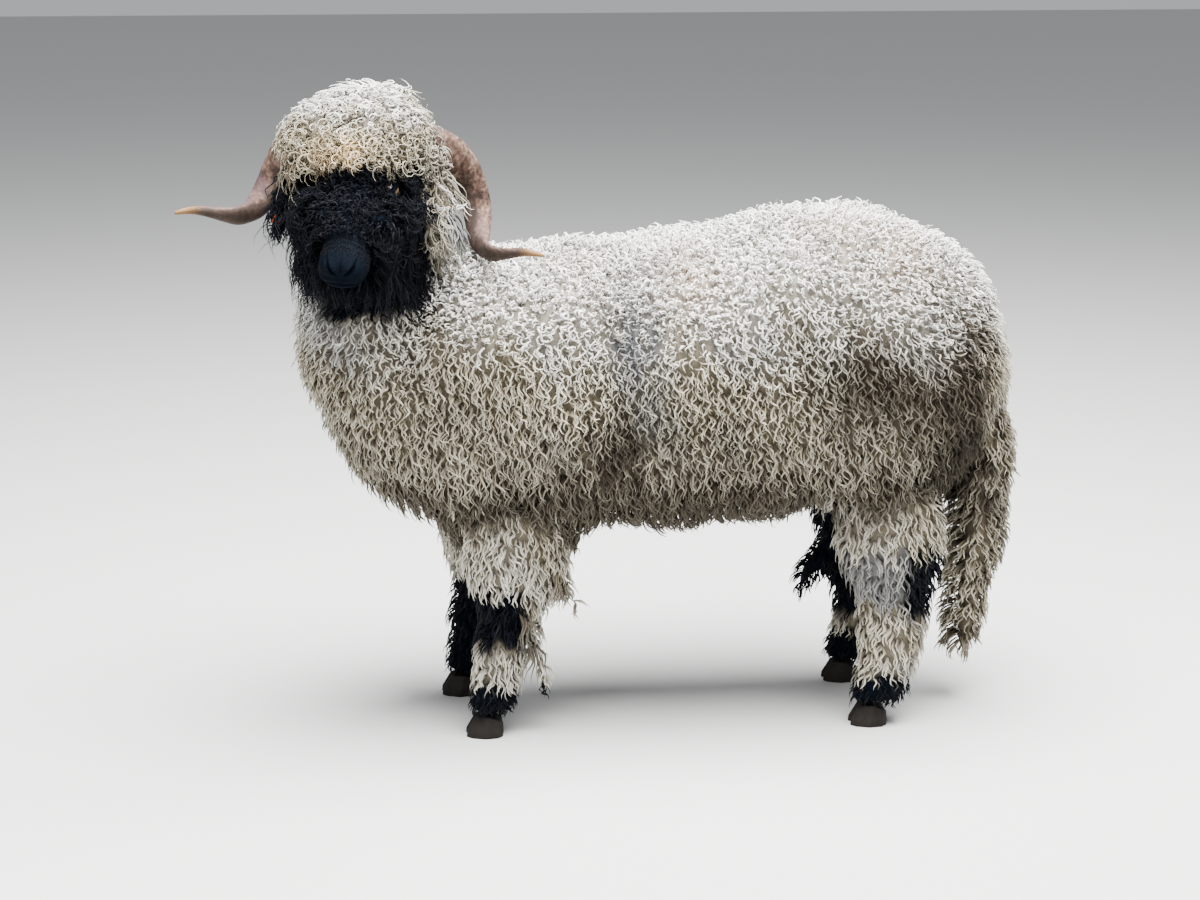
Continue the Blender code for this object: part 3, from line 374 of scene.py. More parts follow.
def brow_pad():
    """The thick wool over the root of the right horn, as a soft bulge of the skin."""
    pad = primitive(bpy.ops.mesh.primitive_uv_sphere_add, segments=28, ring_count=18, radius=1)
    edit_whole(pad, bpy.ops.transform.resize, value=PAD_SIZE)
    put_in_order(pad)
    ahead, left, up = PAD_PLACE
    set_in_place(pad, POLL + AHEAD * ahead + LEFT * left + UP * up, (AHEAD, LEFT, UP))
    return pad


def make_skin():
    """Body, face, lids and ears fused into one closed surface."""
    skin = body_skin()
    parts = [face_skin(), eye_lids(1), eye_lids(-1), brow_pad()]
    for node in EARS:
        ear = node_copy(node, node + "_skin")
        apply_form(ear, "SUBSURF", levels=1, render_levels=1)
        parts.append(ear)
    for part in parts:
        apply_form(skin, "BOOLEAN", operation="UNION", object=part, solver="MANIFOLD")
        bpy.data.objects.remove(part, do_unlink=True)
    edit_whole(skin, bpy.ops.uv.smart_project, angle_limit=math.radians(66), island_margin=0.002)
    skin.data.uv_layers[0].name = BAKE_MAP
    skin.data.shade_smooth()
    return skin


# Markings, painted light and shade among them: the same rules colour the skin and the locks

# Stains of the left side, with some painted shade among the dirt spots: distance along the body and height
# of the middle, half sizes, strength
GREY_STAINS = ((0.020, 0.665, 0.036, 0.085, 1.00), (0.045, 0.570, 0.034, 0.070, 0.75))
DIRT_AND_SHADE_SPOTS = (
    (-0.010, 0.480, 0.050, 0.080, 1.60),
    (0.420, 0.605, 0.140, 0.085, 1.00),
    # These three are dirt and painted shade between the thigh and the tail
    (0.510, 0.575, 0.085, 0.120, 1.00),
    (0.560, 0.540, 0.036, 0.120, 2.20),
    (0.590, 0.440, 0.045, 0.110, 1.80),
    (0.150, 0.390, 0.260, 0.055, 1.40),
    # Painted shade on the chest, then a darker spot below and behind it
    (-0.290, 0.600, 0.090, 0.130, 0.45),
    (-0.200, 0.470, 0.050, 0.080, 0.30),
)
PINK_STAINS = ((0.110, 0.754, 0.050, 0.045, 0.55), (0.359, 0.820, 0.060, 0.035, 0.5),
               (0.465, 0.790, 0.050, 0.050, 0.5), (-0.047, 0.779, 0.040, 0.030, 0.4))
# Black hair of the legs: node, lowest and highest height, then the part of the girth
BLACK_LEGS = {
    "foreleg_left": ((0.000, 0.096, "all"), (0.165, 0.262, "front")),
    "foreleg_right": ((0.000, 0.235, "all"),),
    "hindleg_left": ((0.000, 0.088, "all"), (0.205, 0.315, "back")),
    "hindleg_right": ((0.000, 0.105, "all"), (0.140, 0.330, "front")),
}


def blobs(y, z, rows):
    total = np.zeros(len(y))
    for along, height, half_y, half_z, strength in rows:
        off = ((y - along) / half_y) ** 2 + ((z - height) / half_z) ** 2
        total = np.maximum(total, strength * np.exp(-off))
    return total


def markings(points, normals, owner):
    """Black, white, dirt with painted shade, grey, gold and pink at each point of the skin; the white is
    partly painted light.
    """
    x, y, z = points.T
    rise = normals[:, 2]
    ragged = waves(points, 0.035, 3)
    mottle = waves(points, 0.11, 5)
    ahead, left, up = head_places(points)
    torso, neck, tail = [owned(owner, n) for n in ("torso", "neck", "tail")]
    on_head = owned(owner, "head", "head_wool", *EARS)
    to_face = (ahead - 0.060) * 0.867 - (up + 0.030) * 0.499
    black = on_head * smooth_step(to_face + 0.006 * ragged, -0.034, -0.020)
    for node, bands in BLACK_LEGS.items():
        on_leg = owned(owner, node)
        centre_y = y[on_leg].mean() if on_leg.any() else 0
        for low, high, part in bands:
            inside = smooth_step(z + 0.007 * ragged, low - 0.012, low + 0.004)
            inside *= 1 - smooth_step(z + 0.007 * ragged, high - 0.008, high + 0.008)
            if part == "front":
                inside *= smooth_step(centre_y + 0.024 - y + 0.006 * ragged, -0.006, 0.010)
            if part == "back":
                inside *= smooth_step(y - centre_y - 0.012 + 0.006 * ragged, -0.006, 0.010)
            black = np.maximum(black, on_leg * inside)
    throat = neck * smooth_step(x, 0.05, 0.08) * smooth_step(z + 0.008 * ragged, 0.700, 0.715)
    throat = throat * smooth_step(-y, 0.27, 0.29)
    black = np.maximum.reduce([black, owned(owner, "scrotum") * 0.75, owned(owner, *EARS) * 0.96, throat])
    covered = np.maximum(smooth_step(y + 0.006 * ragged, FACE_EDGE - 0.006, FACE_EDGE + 0.006),
                         smooth_step(z + 0.006 * ragged, FACE_TOP - 0.005, FACE_TOP + 0.005))
    black = black * (1 - on_head * covered)
    # The head's wool turns white where it faces up: painted light from above
    crown = 0.9 * smooth_step(rise + 0.2 * ragged, 0.45, 1.0)
    # Whiter high on the body and where it faces up, as painted light from above; on the legs a little white
    # at random
    white = np.maximum(smooth_step(z + 0.03 * mottle + 0.06 * rise, 0.59, 0.80),
                       owned(owner, *LEGS) * (0.16 + 0.12 * mottle))
    white = np.where(on_head, crown, white)
    # Between the hind legs below the tail: dirt and painted shade
    crotch = np.exp(-(x / 0.05) ** 2 - ((y - 0.53) / 0.08) ** 2) * smooth_step(0.62 - z, 0, 0.15)
    # Dirt and painted shade: the spots, darker low down, under the belly and low on the right side, dirt
    # and painted shade on the tail's front and between the hind legs, painted shade on the head's wool
    soil_and_shade = np.maximum.reduce([
        blobs(y + 0.02 * ragged, z + 0.02 * mottle, DIRT_AND_SHADE_SPOTS) * (x > -0.05),
        torso * 0.94 * smooth_step(0.480 - z + 0.02 * mottle, -0.02, 0.05),
        (torso | neck) * (0.40 + 0.14 * mottle) * smooth_step(0.60 - z + 0.03 * ragged, 0.0, 0.13),
        0.1 * smooth_step(0.04 * mottle - z, -0.10, 0.0),
        torso * (x < 0) * (0.35 + 0.35 * mottle) * smooth_step(0.62 - z, 0, 0.25),
        # Dirt and painted shade on the upper front of the tail, which faces the thigh
        tail * smooth_step(-normals[:, 1], 0.0, 0.7) * smooth_step(z, 0.25, 0.48),
        tail * (0.38 + 0.2 * mottle) * smooth_step(0.60 - z, 0, 0.25),
        crotch * (1 - tail),
        # Painted shade on the head's wool where it does not face up
        on_head * (0.36 + 0.16 * ragged) * (1 - crown),
    ])
    temple = smooth_step(left, 0.06, 0.10) * (1 - smooth_step(up, -0.05, 0.0)) * on_head
    height = z + 0.008 * ragged
    hock = smooth_step(height, 0.206, 0.222) * (1 - smooth_step(height, 0.300, 0.316))
    grey = np.maximum.reduce([
        blobs(y + 0.015 * ragged, z, GREY_STAINS) * (x > 0),
        0.30 * smooth_step(mottle, 0.8, 1.4),
        temple * (0.28 + 0.25 * mottle),
        0.85 * hock * owned(owner, "hindleg_left") * smooth_step(x, 0.06, 0.10),
    ])
    brow = np.exp(-((y + 0.430) / 0.050) ** 2 - ((z - 0.972) / 0.022) ** 2) * smooth_step(ahead, 0.0, 0.03)
    gold = on_head * 1.2 * brow * (0.8 + 0.4 * ragged)
    pink = blobs(y, z, PINK_STAINS) * (x > 0)
    return [np.clip(v, 0, 1) for v in (black, white, soil_and_shade, grey, gold, pink)]


def colour_points(mesh, *values):
    """Stores a coat's values on the points of a mesh: place along the lock, tone and the six markings."""
    rows = np.zeros((len(mesh.vertices), 8), np.float32)
    rows[:, :len(values)] = np.stack(values, axis=1)
    for name, part in (("coat", rows[:, :4]), ("stain", rows[:, 4:])):
        layer = mesh.attributes.new(name, "FLOAT_COLOR", "POINT")
        layer.data.foreach_set("color", part.ravel())


# The locks

class Roots:
    """Places on the skin where hair grows, with all that a lock needs to know there."""

    FIELDS = ("place", "normal", "uv", "owner")

    def __init__(self, **values):
        for field in self.FIELDS:
            setattr(self, field, values[field])

    def __len__(self):
        return len(self.place)

    def only(self, mask):
        return Roots(**{field: getattr(self, field)[mask] for field in self.FIELDS})

    def repeat(self, count):
        return Roots(**{field: np.repeat(getattr(self, field), count, axis=0) for field in self.FIELDS})


class SkinMap:
    """The skin's triangles as arrays, to scatter roots over."""

    def __init__(self, skin, nearest):
        mesh = skin.data
        mesh.calc_loop_triangles()
        count = len(mesh.loop_triangles)
        corners = np.empty(count * 3, np.int32)
        loops = np.empty(count * 3, np.int32)
        uv = np.empty(len(mesh.loops) * 2, np.float32)
        mesh.loop_triangles.foreach_get("vertices", corners)
        mesh.loop_triangles.foreach_get("loops", loops)
        mesh.uv_layers[BAKE_MAP].data.foreach_get("uv", uv)
        corners = corners.reshape(-1, 3)
        self.points = points_of(skin)[corners]
        self.normals = points_of(skin, "normal")[corners]
        self.uv = uv.reshape(-1, 2)[loops.reshape(-1, 3)].astype(float)
        edges = self.points[:, 1:] - self.points[:, :1]
        self.area = 0.5 * np.linalg.norm(np.cross(edges[:, 0], edges[:, 1]), axis=1)
        self.middle = self.points.mean(axis=1)
        self.owner = nearest(self.middle)

    def on(self, *nodes):
        """One on the triangles over these nodes, and else zero."""
        return owned(self.owner, *nodes).astype(float)

    def scatter(self, weight, count, seed):
        """Roots spread evenly over the triangles, by area and weight."""
        chance = np.random.default_rng(seed)
        total = np.cumsum(self.area * weight)
        spots = (np.arange(count) + chance.random(count)) / count * total[-1]
        face = np.minimum(np.searchsorted(total, spots), len(total) - 1)
        a, b = chance.random(count), chance.random(count)
        flip = a + b > 1
        a[flip], b[flip] = 1 - a[flip], 1 - b[flip]
        share = np.stack([1 - a - b, a, b], axis=1)[:, :, None]
        normal = (self.normals[face] * share).sum(axis=1)
        normal /= np.maximum(np.linalg.norm(normal, axis=1, keepdims=True), 1e-6)
        return Roots(place=(self.points[face] * share).sum(axis=1), normal=normal,
                     uv=(self.uv[face] * share).sum(axis=1), owner=self.owner[face])


def across_of(vectors, normals):
    flat = vectors - normals * (vectors * normals).sum(axis=1, keepdims=True)
    return flat / np.maximum(np.linalg.norm(flat, axis=1, keepdims=True), 1e-6)


def turned(lie, normal, angle):
    """The lie laid flat on the skin and turned there by an angle."""
    flat = across_of(np.asarray(lie, float), normal)
    other = np.cross(normal, flat)
    return flat * np.cos(angle)[:, None] + other * np.sin(angle)[:, None]


def lock_faces(rings):
    """Faces of one lock and, for each corner, its place round and along the lock."""
    corners, sizes, spots = [], [], []

    def corner(k, j):
        if k == 0:
            return 0
        if k == rings + 1:
            return 1 + rings * LOCK_SIDES
        return 1 + (k - 1) * LOCK_SIDES + j % LOCK_SIDES

    for k in range(rings + 1):
        for j in range(LOCK_SIDES):
            face = [(k, j), (k, j + 1), (k + 1, j + 1), (k + 1, j)]
            if k == 0:
                face = face[1:]
            if k == rings:
                face = [(k, j), (k, j + 1), (k + 1, j)]
            corners += [corner(*c) for c in face]
            spots += [(c[1] / LOCK_SIDES - 0.5, c[0] / (rings + 1) - 0.5) for c in face]
            sizes.append(len(face))
    return np.array(corners), np.array(sizes), np.array(spots)


def grow(name, slot, roots, form, rings, seed, marks=None):
    """A piece of coat: one closed, tapered, wavy lock for each root."""
    count = len(roots)
    marks = marks or markings(roots.place, roots.normal, roots.owner)
    form = {**USUAL_FORM, **form}
    chance = np.random.default_rng(seed)
    s = np.linspace(0, 1, rings + 2)[None, :, None]
    field = {k: np.broadcast_to(np.asarray(v, float), (count,))[:, None, None]
             for k, v in form.items() if k != "lie"}
    normal = roots.normal[:, None]
    lie = across_of(form["lie"], roots.normal)[:, None]
    across = np.cross(normal, lie)
    down = np.array([0, 0, -1.0])
    line = roots.place[:, None] + normal * field["height"] * (1 - (1 - s) ** 2) - normal * field["sunk"]
    line = line + lie * field["reach"] * s ** 1.25 + down * field["droop"] * s ** 2
    turn = field["phase"] + 2 * math.pi * field["turns"] * s
    second = lie * field["facing"] + normal * (1 - field["facing"])
    loose = field["curl"] * s ** 0.7 * (1 - field["tight"] * s)
    line = line + loose * (across * np.sin(turn) + second * np.cos(turn) * field["round"])
    along = np.gradient(line, axis=1)
    along /= np.maximum(np.linalg.norm(along, axis=2, keepdims=True), 1e-9)
    side = across - along * (across * along).sum(axis=2, keepdims=True)
    side /= np.maximum(np.linalg.norm(side, axis=2, keepdims=True), 1e-6)
    over = np.cross(along, side)
    profile = np.minimum(1, 0.45 + 2.2 * s) * np.minimum(1, 1.9 * (1 - s)) ** 0.8
    radius = 0.5 * field["width"] * profile
    angle = 2 * math.pi * np.arange(LOCK_SIDES) / LOCK_SIDES
    ring = (line[:, 1:-1, None] + radius[:, 1:-1, None] * (
        side[:, 1:-1, None] * np.cos(angle)[:, None]
        + field["flat"][:, :, None] * over[:, 1:-1, None] * np.sin(angle)[:, None]))
    points = np.concatenate([line[:, :1], ring.reshape(count, -1, 3), line[:, -1:]], axis=1)
    each = points.shape[1]
    corners, sizes, spots = lock_faces(rings)
    mesh = bpy.data.meshes.new(name)
    mesh.vertices.add(count * each)
    mesh.vertices.foreach_set("co", points.astype(np.float32).ravel())
    mesh.loops.add(count * len(corners))
    loops = corners[None, :] + (np.arange(count) * each)[:, None]
    mesh.loops.foreach_set("vertex_index", loops.astype(np.int32).ravel())
    starts = np.concatenate([[0], np.cumsum(sizes)[:-1]])
    mesh.polygons.add(count * len(sizes))
    all_starts = starts[None, :] + (np.arange(count) * len(corners))[:, None]
    mesh.polygons.foreach_set("loop_start", all_starts.astype(np.int32).ravel())
    mesh.update(calc_edges=True)
    uv = roots.uv[:, None] + BAKE_PATCH * spots[None]
    layer = mesh.uv_layers.new(name=BAKE_MAP)
    layer.data.foreach_set("uv", np.clip(uv, 0, 1).astype(np.float32).ravel())
    place = np.concatenate([[0], np.repeat(s[0, 1:-1, 0], LOCK_SIDES), [1]])
    tone = np.repeat(np.clip(chance.normal(0.5, 0.2, count), 0, 1), each)
    colour_points(mesh, np.tile(place, count), tone, *[np.repeat(m, each) for m in marks])
    obj = bpy.data.objects.new(name, mesh)
    bpy.context.scene.collection.objects.link(obj)
    return finish(obj, "wool", slot)


def finish(obj, material, slot, *nodes):
    """Gives a piece its material and puts it in the place of the nodes; the slot is not used."""
    obj.data.materials.clear()
    obj.data.materials.append(materials[material])
    obj.data.shade_smooth()
    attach(obj, "root")
    if nodes:
        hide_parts(*nodes)
    return obj


def tangle(roots, seed):
    """A turn of each lock's lie that neighbours share."""
    return 0.7 * waves(roots.place, 0.05, seed) + 0.35 * waves(roots.place, 0.018, seed + 1)


def bundle(roots, count, apart, chance):
    """Several strands to a lock: the roots repeated and set a little apart."""
    many = roots.repeat(count)
    step = chance.normal(size=(len(many), 3)) * apart
    step -= many.normal * (step * many.normal).sum(axis=1, keepdims=True)
    many.place = many.place + step
    return many


def shared_phase(count, chance):
    """Where the curl of each strand starts: nearly the same within a bundle of two."""
    starts = np.repeat(chance.uniform(0, 2 * math.pi, count // 2), 2)
    return starts + 0.3 * chance.normal(size=count)


def body_coat(skin_map):
    """The fleece of the torso, neck and breast: short hooked curls above, hanging waves on the sides."""
    wanted = skin_map.on("torso", "neck")
    facing_up = skin_map.normals.mean(axis=1)[:, 2]
    wanted *= 1 - 0.45 * smooth_step(-facing_up, 0.6, 0.9) + 0.25 * smooth_step(facing_up, 0.3, 0.7)
    chance = np.random.default_rng(101)
    roots = skin_map.scatter(wanted, LOCKS["body"], 102)
    count = len(roots)
    x, y, z = roots.place.T
    top = smooth_step(roots.normal[:, 2] + 0.1 * waves(roots.place, 0.09, 12), 0.05, 0.70)
    shoulder = np.exp(-((y + 0.20) / 0.16) ** 2) * (1 - top) * smooth_step(z, 0.40, 0.50)
    hem = 1 - smooth_step(z, 0.42, 0.54)
    size = np.clip(1 + 0.20 * chance.normal(size=count), 0.6, 1.5)
    lie = np.stack([np.sign(x) * 0.15, 0.10 + 0 * x, -1 + 0.35 * top], axis=1)
    swing = (0.25 + 0.6 * top) * waves(roots.place, 0.030, 111)
    swing = swing + (0.30 + 1.0 * top) * chance.normal(size=count)
    relief = 0.7 * waves(roots.place, 0.055, 14) + 0.5 * waves(roots.place, 0.022, 15)
    form = {
        "lie": turned(lie, roots.normal, swing),
        "height": (0.0205 + 0.0026 * relief - 0.002 * top) * size,
        "reach": (0.0150 + 0.010 * shoulder + 0.008 * hem - 0.009 * top) * size,
        "droop": 0.003 + 0.002 * (1 - top),
        "width": (0.0040 + 0.0003 * top) * np.clip(1 + 0.28 * chance.normal(size=count), 0.5, 1.7),
        "curl": (0.0050 + 0.0006 * top) * size,
        "turns": 1.10 + 0.10 * top + 0.30 * shoulder + 0.15 * chance.normal(size=count),
        "phase": chance.uniform(0, 2 * math.pi, count), "facing": 0.30 + 0.40 * top,
        "round": 0.60 + 0.40 * top, "flat": 0.8,
    }
    parts = ("breast", "neck", "shoulder", "middle", "loin", "rump")
    belt = np.searchsorted(np.quantile(y, np.linspace(0, 1, len(parts) + 1)[1:-1]), y)
    for k, part in enumerate(parts):
        here = belt == k
        form_here = {key: value if np.ndim(value) == 0 else value[here] for key, value in form.items()}
        grow("coat_" + part, "fleece", roots.only(here), form_here, 5, 120 + k)


def tail_coat(skin_map):
    chance = np.random.default_rng(201)
    roots = bundle(skin_map.scatter(skin_map.on("tail"), LOCKS["tail"], 202), 2, 0.0030, chance)
    count = len(roots)
    height = 0.019 + 0.016 * smooth_step(-roots.normal[:, 1], 0.0, 0.8)
    form = {
        "lie": turned((0, 0, -1), roots.normal, 0.35 * tangle(roots, 211)),
        "height": height * (1 + 0.15 * chance.normal(size=count)),
        "reach": 0.024 * (1 + 0.15 * chance.normal(size=count)),
        "droop": 0.004, "width": 0.0050, "curl": 0.0054,
        "turns": 1.3 + 0.2 * chance.normal(size=count),
        "phase": shared_phase(count, chance), "facing": 0.4, "round": 0.5, "tight": 0.1,
        "flat": 0.75, "sunk": 0.003,
    }
    grow("coat_tail", "fleece", roots, form, 5, 220)


def leg_coat(skin_map):
    """Shorter curls down the legs, shortest at the feet."""
    for k, node in enumerate(LEGS):
        chance = np.random.default_rng(300 + k)
        roots = bundle(skin_map.scatter(skin_map.on(node), LOCKS["leg"], 310 + k), 2, 0.0026, chance)
        count = len(roots)
        z = roots.place[:, 2]
        foot = 1 - smooth_step(z, 0.05, 0.14)
        marks = markings(roots.place, roots.normal, roots.owner)
        black = marks[0]
        size = (1 + 0.18 * chance.normal(size=count)) * (1 - 0.45 * foot)
        reach = (0.023 - 0.002 * black) * size
        room = np.maximum(z - 0.010, 0.004)
        form = {
            "lie": turned((0, 0.06, -1), roots.normal, 0.5 * tangle(roots, 320 + k)),
            "height": 0.0155 * size, "reach": np.minimum(reach, 0.75 * room),
            "droop": np.minimum(0.005, 0.15 * room), "width": 0.0050 - 0.0012 * black - 0.0010 * foot,
            "curl": np.minimum(0.0050 - 0.0006 * black, 0.3 * room),
            "turns": 1.2 + 0.2 * chance.normal(size=count),
            "phase": shared_phase(count, chance), "facing": 0.45, "round": 0.5, "tight": 0.1,
            "flat": 0.75, "sunk": 0.003,
        }
        grow("coat_" + node, "leg_fleece", roots, form, 5, 330 + k, marks)


def head_coat(skin_map):
    """Ringlets over the crown, and long waves that hang from the sides of the head."""
    on_cap = skin_map.on("head_wool")
    _, left, up = head_places(skin_map.middle)
    hanging = smooth_step(np.abs(left), 0.075, 0.100) * (1 - smooth_step(up, -0.075, -0.035))
    chance = np.random.default_rng(401)
    forehead = skin_map.on("head") * smooth_step(skin_map.middle[:, 2], 0.940, 0.955)
    roots = skin_map.scatter(np.maximum(on_cap * (1 - hanging), forehead), LOCKS["crown"], 402)
    count = len(roots)
    marks = markings(roots.place, roots.normal, roots.owner)
    centre = np.array(POLL + UP * 0.06 - AHEAD * 0.02)
    lie = across_of(roots.place - centre, roots.normal) + np.array([0, 0, -0.6])
    size = np.clip(1 + 0.22 * chance.normal(size=count), 0.6, 1.4)
    right_side = smooth_step(-head_places(roots.place)[1], 0.035, 0.085)
    height = 0.027 + 0.002 * right_side + 0.004 * waves(roots.place, 0.05, 414)
    form = {
        "lie": turned(lie, roots.normal, 0.8 * chance.normal(size=count)),
        "height": height * (0.6 + 0.4 * size), "reach": 0.012 * size, "droop": 0.004,
        "width": 0.0036 - 0.0010 * marks[0], "curl": (0.0088 - 0.0020 * marks[0]) * size,
        "turns": 1.6 + 0.3 * chance.normal(size=count), "phase": chance.uniform(0, 6.3, count),
        "facing": 0.85,
    }
    grow("coat_crown", "head_fleece", roots, form, 14, 420, marks)
    roots = skin_map.scatter(on_cap * hanging, LOCKS["temples"], 403)
    count = len(roots)
    left_side = smooth_step(head_places(roots.place)[1], 0.05, 0.09)
    size = np.clip(1 + 0.2 * chance.normal(size=count), 0.6, 1.3)
    form = {
        "lie": turned((0.1, 0.1, -1), roots.normal, 0.25 * chance.normal(size=count)),
        "height": (0.027 - 0.006 * left_side) * size, "reach": (0.040 + 0.008 * left_side) * size,
        "droop": 0.018, "width": 0.0040, "curl": 0.0058, "turns": 2.2 + 0.3 * chance.normal(size=count),
        "phase": chance.uniform(0, 6.3, count), "facing": 0.2, "round": 0.7, "flat": 0.85,
    }
    grow("coat_temples", "head_fleece", roots, form, 12, 421)


def face_coat(skin_map):
    """Black curls round the face, small ones on its bridge and short hair on the nose and lips."""
    chance = np.random.default_rng(501)
    down, left, out = face_places(skin_map.middle)
    on_face = skin_map.on("head")
    eyes = np.minimum(*[np.linalg.norm(skin_map.middle - np.array(eye_axes(side)[0]), axis=1)
                        for side in (1, -1)])
    bridge = smooth_step(down, 0.070, 0.095) * smooth_step(out, -0.030, -0.012)
    muzzle = smooth_step(down, 0.212, 0.232) * smooth_step(out, -0.084, -0.070)
    clear = 1 - smooth_step(eyes, 0.015, 0.021)
    nose = smooth_step(0.262 - down, 0, 0.02)
    roots = skin_map.scatter(on_face * (1 - np.maximum.reduce([muzzle, bridge, clear])), LOCKS["face"], 502)
    roots = bundle(roots.only(beside_tag(roots)), 2, 0.0020, chance)
    count = len(roots)
    down, left, out = face_places(roots.place)
    outward = roots.place - np.array(POLL + DOWN_FACE * 0.13 + OUT_OF_FACE * -0.01)
    lie = 0.5 * across_of(outward, roots.normal) + np.array([0, 0, -0.9])
    full = 0.55 + 0.45 * smooth_step(np.abs(left), 0.02, 0.05)
    beard = smooth_step(-out, 0.050, 0.085) * smooth_step(down, 0.04, 0.10)
    rim = smooth_step(np.abs(left), 0.040, 0.065)
    size = np.clip(1 + 0.2 * chance.normal(size=count), 0.6, 1.4) * full
    form = {
        "lie": turned(lie, roots.normal, 0.8 * tangle(roots, 511)),
        "height": 0.029 * size, "reach": (0.012 + 0.028 * beard) * size,
        "droop": (0.005 + 0.032 * beard) * size, "width": 0.0022 + 0.0006 * beard,
        "curl": (0.0074 + 0.0034 * rim - 0.0014 * beard) * size,
        "turns": 1.7 + 0.3 * chance.normal(size=count),
        "phase": shared_phase(count, chance), "facing": 0.80, "sunk": 0.003,
    }
    grow("coat_face", "black_hair", roots, form, 9, 520)
    roots = skin_map.scatter(on_face * bridge * (1 - muzzle) * (1 - clear), LOCKS["bridge"], 504)
    count = len(roots)
    size = 1 + 0.2 * chance.normal(size=count)
    form = {
        "lie": turned(DOWN_FACE, roots.normal, chance.normal(size=count)),
        "height": 0.014 * size, "reach": 0.010 * size, "droop": 0.002, "width": 0.0019,
        "curl": 0.0050 * size, "turns": 1.5, "phase": chance.uniform(0, 6.3, count), "facing": 0.7,
        "tight": 0.1, "sunk": 0.001,
    }
    grow("coat_bridge", "black_hair", roots, form, 6, 525)
    roots = skin_map.scatter(on_face * np.maximum(muzzle * nose, clear), LOCKS["muzzle"], 503)
    count = len(roots)
    lie = np.array(DOWN_FACE) + 3.0 * (roots.place - np.array(POLL + DOWN_FACE * 0.15))
    form = {
        "lie": turned(lie, roots.normal, 0.25 * chance.normal(size=count)),
        "height": 0.0014, "reach": 0.0070, "droop": 0, "width": 0.0010, "curl": 0.0003, "turns": 0.5,
        "phase": chance.uniform(0, 6.3, count), "facing": 0.0, "round": 0.5, "flat": 0.7, "sunk": 0.0005,
    }
    grow("coat_muzzle", "black_hair", roots, form, 2, 530)


def beside_tag(roots):
    """Roots that leave the ear tag in sight."""
    tag = np.array([v.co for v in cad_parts["ear_tag"].data.vertices]).mean(axis=0)
    rel = roots.place - tag
    rel = rel - np.array(AHEAD) * (rel @ np.array(AHEAD))[:, None]
    return np.linalg.norm(rel + np.array([0, 0, -0.004]), axis=1) > 0.015


def ear_coat(skin_map):
    """Soft curls on the ears."""
    chance = np.random.default_rng(601)
    roots = skin_map.scatter(skin_map.on(*EARS), LOCKS["ears"], 602)
    roots = roots.only(beside_tag(roots))
    count = len(roots)
    size = 1 + 0.25 * chance.normal(size=count)
    form = {
        "lie": turned((0, 0, -1), roots.normal, 0.5 * chance.normal(size=count)),
        "height": 0.009 * size, "reach": 0.016 * size, "droop": 0.002, "width": 0.0024,
        "curl": 0.0036 * size, "turns": 1.2, "phase": chance.uniform(0, 6.3, count), "facing": 0.6,
        "round": 0.9, "tight": 0.1, "sunk": 0.001,
    }
    grow("coat_ears", "black_hair", roots, form, 5, 620)


# Matted locks: place, its way, number of strands, spread, reach, strand width, colour marks in order
MATS = (
    ((0.150, -0.234, 0.879), (0.1, 0.1, -1.0), 18, 0.006, 0.050, 0.0060, (0.0, 0.2, 0.2, 0.9, 0.0, 0.0)),
    ((0.160, -0.222, 0.850), (0.2, 0.0, -1.0), 14, 0.007, 0.045, 0.0060, (0.0, 0.2, 0.3, 0.8, 0.0, 0.0)),
    ((0.130, -0.155, 0.230), (0.1, 0.3, -1.0), 8, 0.003, 0.060, 0.0055, (0.0, 0.0, 0.8, 0.1, 0.0, 0.0)),
    ((0.120, -0.128, 0.175), (0.1, 0.1, -1.0), 7, 0.002, 0.070, 0.0055, (0.0, 0.0, 0.8, 0.2, 0.0, 0.0)),
    ((0.130, -0.089, 0.290), (0.1, 0.0, -1.0), 12, 0.007, 0.050, 0.0060, (0.0, 0.0, 0.8, 0.0, 0.1, 0.0)),
)


def matted_locks(skin_map):
    """Single felted or curled locks that stand out from the coat."""
    for k, (place, way, count, spread, reach, width, colour) in enumerate(MATS):
        chance = np.random.default_rng(700 + k)
        face = np.argmin(np.linalg.norm(skin_map.middle - np.array(place), axis=1))
        one = Roots(place=skin_map.middle[[face]], normal=skin_map.normals[[face]].mean(axis=1),
                    uv=skin_map.uv[[face]].mean(axis=1), owner=skin_map.owner[[face]])
        roots = bundle(one, count, spread, chance)
        form = {
            "lie": turned(way, roots.normal, 0.25 * chance.normal(size=count)),
            "height": 0.024 + 0.003 * chance.normal(size=count), "reach": reach, "droop": 0.2 * reach,
            "width": width, "curl": 0.0055 + 0.0015 * chance.normal(size=count), "turns": 1.8,
            "phase": chance.uniform(0, 6.3, count), "facing": 0.5, "round": 0.9, "tight": 0.1,
            "sunk": 0.003,
        }
        marks = [np.full(count, v) for v in colour]
        grow("coat_mat_%d" % (k + 1), "fleece", roots, form, 9, 720 + k, marks)


# Materials

class Value:
    """A socket that can be used in arithmetic."""

    def __init__(self, graph, socket):
        self.graph = graph
        self.socket = socket

    def math(self, operation, other, reverse=False):
        pair = (other, self) if reverse else (self, other)
        return self.graph.node("ShaderNodeMath", {"operation": operation}, {0: pair[0], 1: pair[1]})

    def __add__(self, other):
        return self.math("ADD", other)

    def __sub__(self, other):
        return self.math("SUBTRACT", other)

    def __rsub__(self, other):
        return self.math("SUBTRACT", other, True)

    def __mul__(self, other):
        return self.math("MULTIPLY", other)

    __radd__ = __add__
    __rmul__ = __mul__


# The shader's uniform values, by the plain names used for them here
SOCKETS = {"roughness": "Roughness", "gloss": "Specular IOR Level", "coat": "Coat Weight"}


